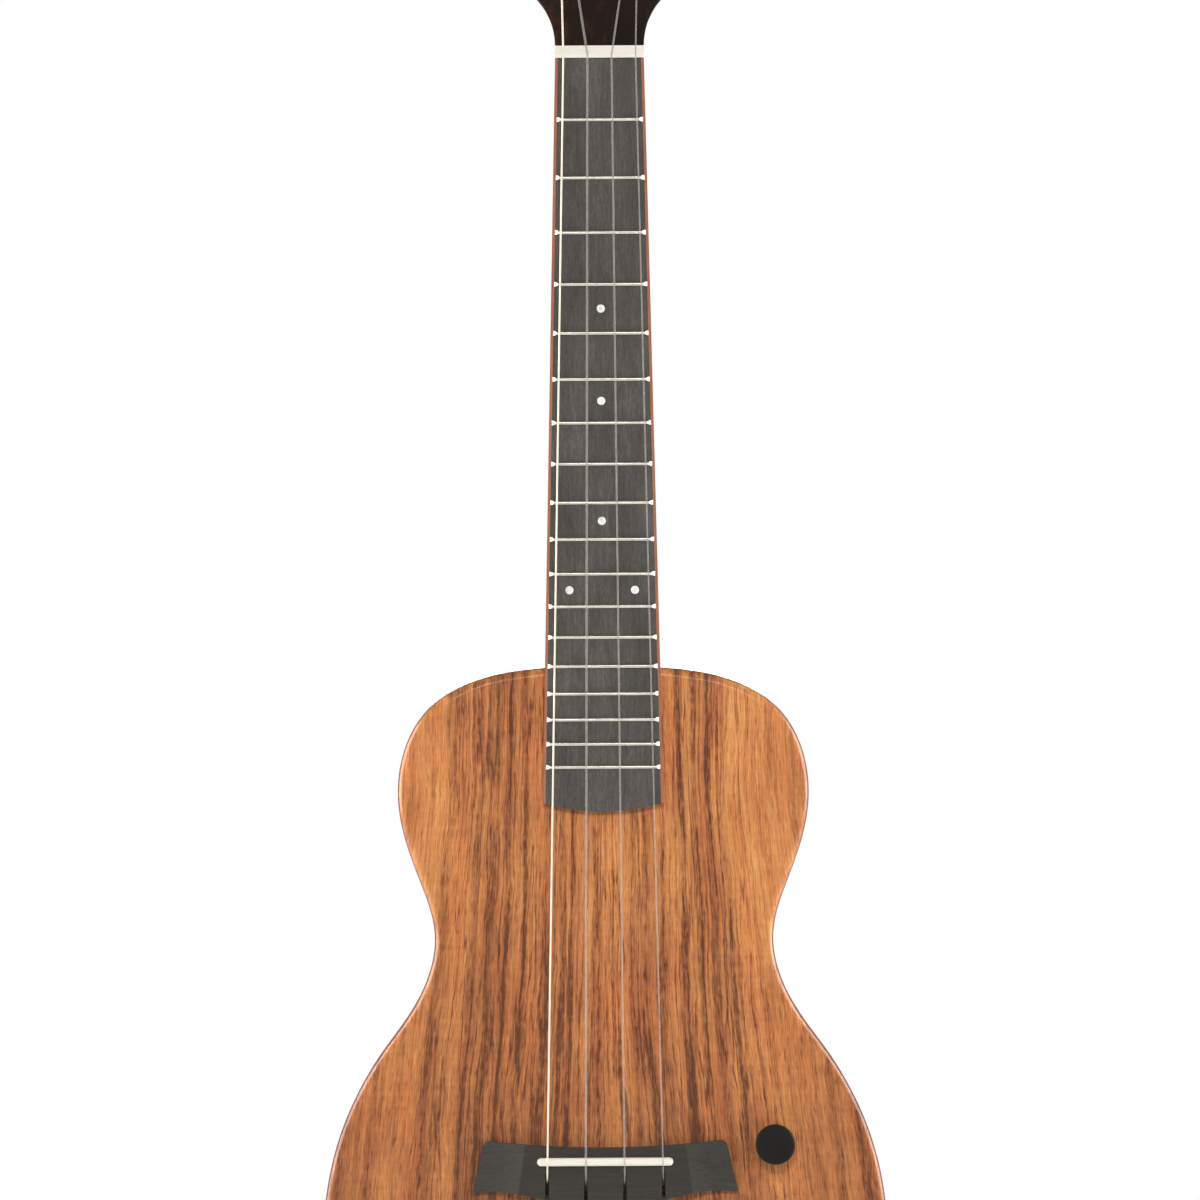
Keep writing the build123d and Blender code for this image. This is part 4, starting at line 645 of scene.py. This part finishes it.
def coil_path(name):
    """From the lowest turn up the post, over its shoulder and through its hole."""
    radius = STRING_RADIUS[name]
    centre, outward, across, up = post_axes(name)
    path = []
    steps_a_turn = 36
    climbing = COIL_TURNS - 1
    start = POST_WAIST + radius
    # in its own axes every post turns the same way, from the point on its inner side
    # that the string meets
    for i in range(climbing * steps_a_turn + 1):
        turn = i / steps_a_turn
        path.append((math.pi - 2 * math.pi * turn, start, STRING_LEVEL + 2 * radius * turn))
    angle, reach, level = path[-1]
    hole_angle = angle - math.pi
    count = steps_a_turn // 2
    for i in range(1, count + 1):
        share = i / count
        eased = share * share * (3 - 2 * share)
        path.append((
            angle - math.pi * share,
            reach + eased * (radius + SHOULDER_STEP),
            level + eased * (POST_HOLE_S - level),
        ))
    points = [centre + r * (math.cos(a) * outward + math.sin(a) * across) + s * up for a, r, s in path]
    tip = centre + POST_HOLE_S * up
    away = math.cos(hole_angle) * outward + math.sin(hole_angle) * across
    points.append(tip + HOLE_ENTRY * away)
    points.append(tip)
    points.append(tip - HOLE_EXIT * away)
    return points


def ring_path(name):
    """The lowest turn, a closed ring that the string meets at any turn of the post."""
    radius = POST_WAIST + STRING_RADIUS[name]
    centre, outward, across, up = post_axes(name)
    count = 48
    points = []
    for i in range(count + 1):
        angle = 2 * math.pi * i / count
        ray = math.cos(angle) * outward + math.sin(angle) * across
        points.append(centre + radius * ray + STRING_LEVEL * up)
    return points


def knot_path(knot, towards, radius):
    """A stopper knot: three wraps round the string's end."""
    axis = (knot - towards).normalized()
    side_way = axis.orthogonal().normalized()
    other = axis.cross(side_way)
    wraps, steps = 3, 16
    reach = radius * 2.0
    points = []
    for i in range(wraps * steps + 1):
        angle = 2 * math.pi * i / steps
        travel = radius * 1.9 * (i / steps - wraps / 2)
        ray = math.cos(angle) * side_way + math.sin(angle) * other
        points.append(knot + travel * axis + reach * ray)
    return points


def string_material(name, colour, darker, gloss, **constants):
    """A string's even colour with a soft gloss, painted dark as shade where it dives into its tie
    slot.
    """
    made = Nodes(name, **constants)
    x, y, z = made.axes()
    cloud = made.noise((x, y, z), (3, 3, 9), 2.0, 2.0)
    # painted shade inside the tie slot, where little light reaches
    painted_slot_shade = made.math("MULTIPLY", made.span(y, -7.6, -6.4), made.span(z, -437.0, -436.0, 1.0, 0.0))
    shade = made.mix(made.span(cloud, 0.3, 0.7), colour, darker)
    made.colour(made.mix(painted_slot_shade, shade, (0.02, 0.018, 0.016)))
    made.roughness(made.span(cloud, 0.3, 0.7, *gloss, smooth=False))
    return made.material


plain_string = string_material(
    "plain_string", (0.58, 0.54, 0.49), (0.50, 0.47, 0.42), (0.25, 0.35), Alpha=0.22
)
wound_string = string_material(
    "wound_string", (0.84, 0.78, 0.63), (0.76, 0.70, 0.56), (0.34, 0.46), Metallic=0.25
)
WINDING_PITCH = 0.36
WINDING_GROOVE = 0.06
PLAIN_RUN = 12.0
BEND_STEP = 0.5
# a knot's string is drawn a little thinner, so that its wraps don't press into each other
KNOT_SHARE = 0.96

for name in TUNERS:
    radius = STRING_RADIUS[name]
    knot, crown, nut_edge, meeting = string_corners(name)
    wound = name == "g"
    material = wound_string if wound else plain_string
    groove = WINDING_GROOVE if wound else 0.0
    route = rounded([knot, crown, nut_edge, meeting], [SADDLE_BEND, NUT_BEND], BEND_STEP)
    route = divided(route, WINDING_PITCH / 2 if wound else PLAIN_RUN)
    string = tube("string_" + name + "_line", route, radius, 12, "root", material, groove)
    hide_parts("string_" + name)
    thinner = radius * KNOT_SHARE
    tube("knot_" + name, knot_path(knot, crown, thinner), thinner, 10, "root", material)
    tube("first_turn_" + name, ring_path(name), radius, 12, "post_" + name, material)
    turns = tube("turns_" + name, coil_path(name), radius, 12, "post_" + name, material)
    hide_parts("coil_" + name)


# =====================================================================================
# Floor, light and camera
# =====================================================================================


def floor_material():
    """Pale matt paint with a faint cloud in it."""
    made = Nodes("floor_pale", Roughness=0.9)
    cloud = made.noise(made.axes(), (300, 300, 300), 1.0, 2.0)
    made.colour(made.mix(made.span(cloud, 0.3, 0.7), (0.86, 0.86, 0.86), (0.90, 0.90, 0.90)))
    return made.material


def pale_floor(radius, level):
    """A round floor."""
    count = 96
    rim = []
    for i in range(count):
        angle = 2 * math.pi * i / count
        rim.append((radius * math.cos(angle), radius * math.sin(angle), level))
    mesh = bpy.data.meshes.new("floor")
    mesh.from_pydata(rim, [], [tuple(range(count))])
    mesh.materials.append(floor_material())
    floor = bpy.data.objects.new("floor", mesh)
    bpy.context.scene.collection.objects.link(floor)


def area_light(name, place, target, size, power, mirrored=True):
    """A soft box that the camera doesn't see, nor glossy surfaces unless it is mirrored."""
    light = bpy.data.lights.new(name, "AREA")
    light.shape = "RECTANGLE"
    light.size, light.size_y = size
    light.energy = power
    lamp = bpy.data.objects.new(name, light)
    lamp.location = place
    lamp.rotation_mode = "QUATERNION"
    lamp.rotation_quaternion = (Vector(target) - Vector(place)).to_track_quat("-Z", "Y")
    lamp.visible_camera = False
    lamp.visible_glossy = mirrored
    bpy.context.scene.collection.objects.link(lamp)


def white_world(surround):
    """A white backdrop, and a dimmer even light from all around."""
    world = bpy.data.worlds.new("studio")
    bpy.context.scene.world = world
    world.use_nodes = True
    tree = world.node_tree
    tree.nodes.clear()
    output = tree.nodes.new("ShaderNodeOutputWorld")
    mix = tree.nodes.new("ShaderNodeMixShader")
    seen = tree.nodes.new("ShaderNodeLightPath")
    lit = tree.nodes.new("ShaderNodeBackground")
    backdrop = tree.nodes.new("ShaderNodeBackground")
    lit.inputs["Color"].default_value = (1, 1, 1, 1)
    lit.inputs["Strength"].default_value = surround
    backdrop.inputs["Color"].default_value = (1, 1, 1, 1)
    backdrop.inputs["Strength"].default_value = 1.0
    tree.links.new(seen.outputs["Is Camera Ray"], mix.inputs[0])
    tree.links.new(lit.outputs[0], mix.inputs[1])
    tree.links.new(backdrop.outputs[0], mix.inputs[2])
    tree.links.new(mix.outputs[0], output.inputs["Surface"])


CAMERA_DISTANCE = 5.0
CAMERA_X = -0.0009
CAMERA_Z = -0.2134
VIEW_WIDTH = 0.4728
CAMERA_ROLL = math.radians(-0.3)
SENSOR = 36.0
MIDDLE = (0, 0, -0.25)

FLOOR_RADIUS = 1.5
FLOOR_DROP = 0.06
EVEN_LIGHT = 0.2

pale_floor(FLOOR_RADIUS, cad_box[0].z - FLOOR_DROP)
white_world(EVEN_LIGHT)
area_light("front_box", (0.0, -2.6, 0.5), MIDDLE, (1.2, 0.7), 13.0)
area_light("front_fill", (0.0, -2.6, 0.5), MIDDLE, (0.4, 0.3), 26.0, mirrored=False)
area_light("left_box", (-1.6, 0.0, 0.05), MIDDLE, (1.2, 1.2), 32.0)
area_light("right_box", (1.6, 0.0, 0.05), MIDDLE, (1.2, 1.2), 32.0)
area_light("back_box", (0.0, 2.6, 0.5), MIDDLE, (1.2, 0.7), 36.0)

bpy.context.scene.view_settings.view_transform = "Standard"
camera_data = bpy.data.cameras.new("camera")
camera_data.sensor_width = SENSOR
camera_data.lens = SENSOR * CAMERA_DISTANCE / VIEW_WIDTH
camera = bpy.data.objects.new("camera", camera_data)
bpy.context.scene.collection.objects.link(camera)
camera.rotation_mode = "QUATERNION"
level_view = Matrix.Rotation(math.radians(90), 3, "X") @ Matrix.Rotation(CAMERA_ROLL, 3, "Z")
camera.rotation_quaternion = level_view.to_quaternion()
camera.location = (CAMERA_X, -CAMERA_DISTANCE, CAMERA_Z)
bpy.context.scene.camera = camera
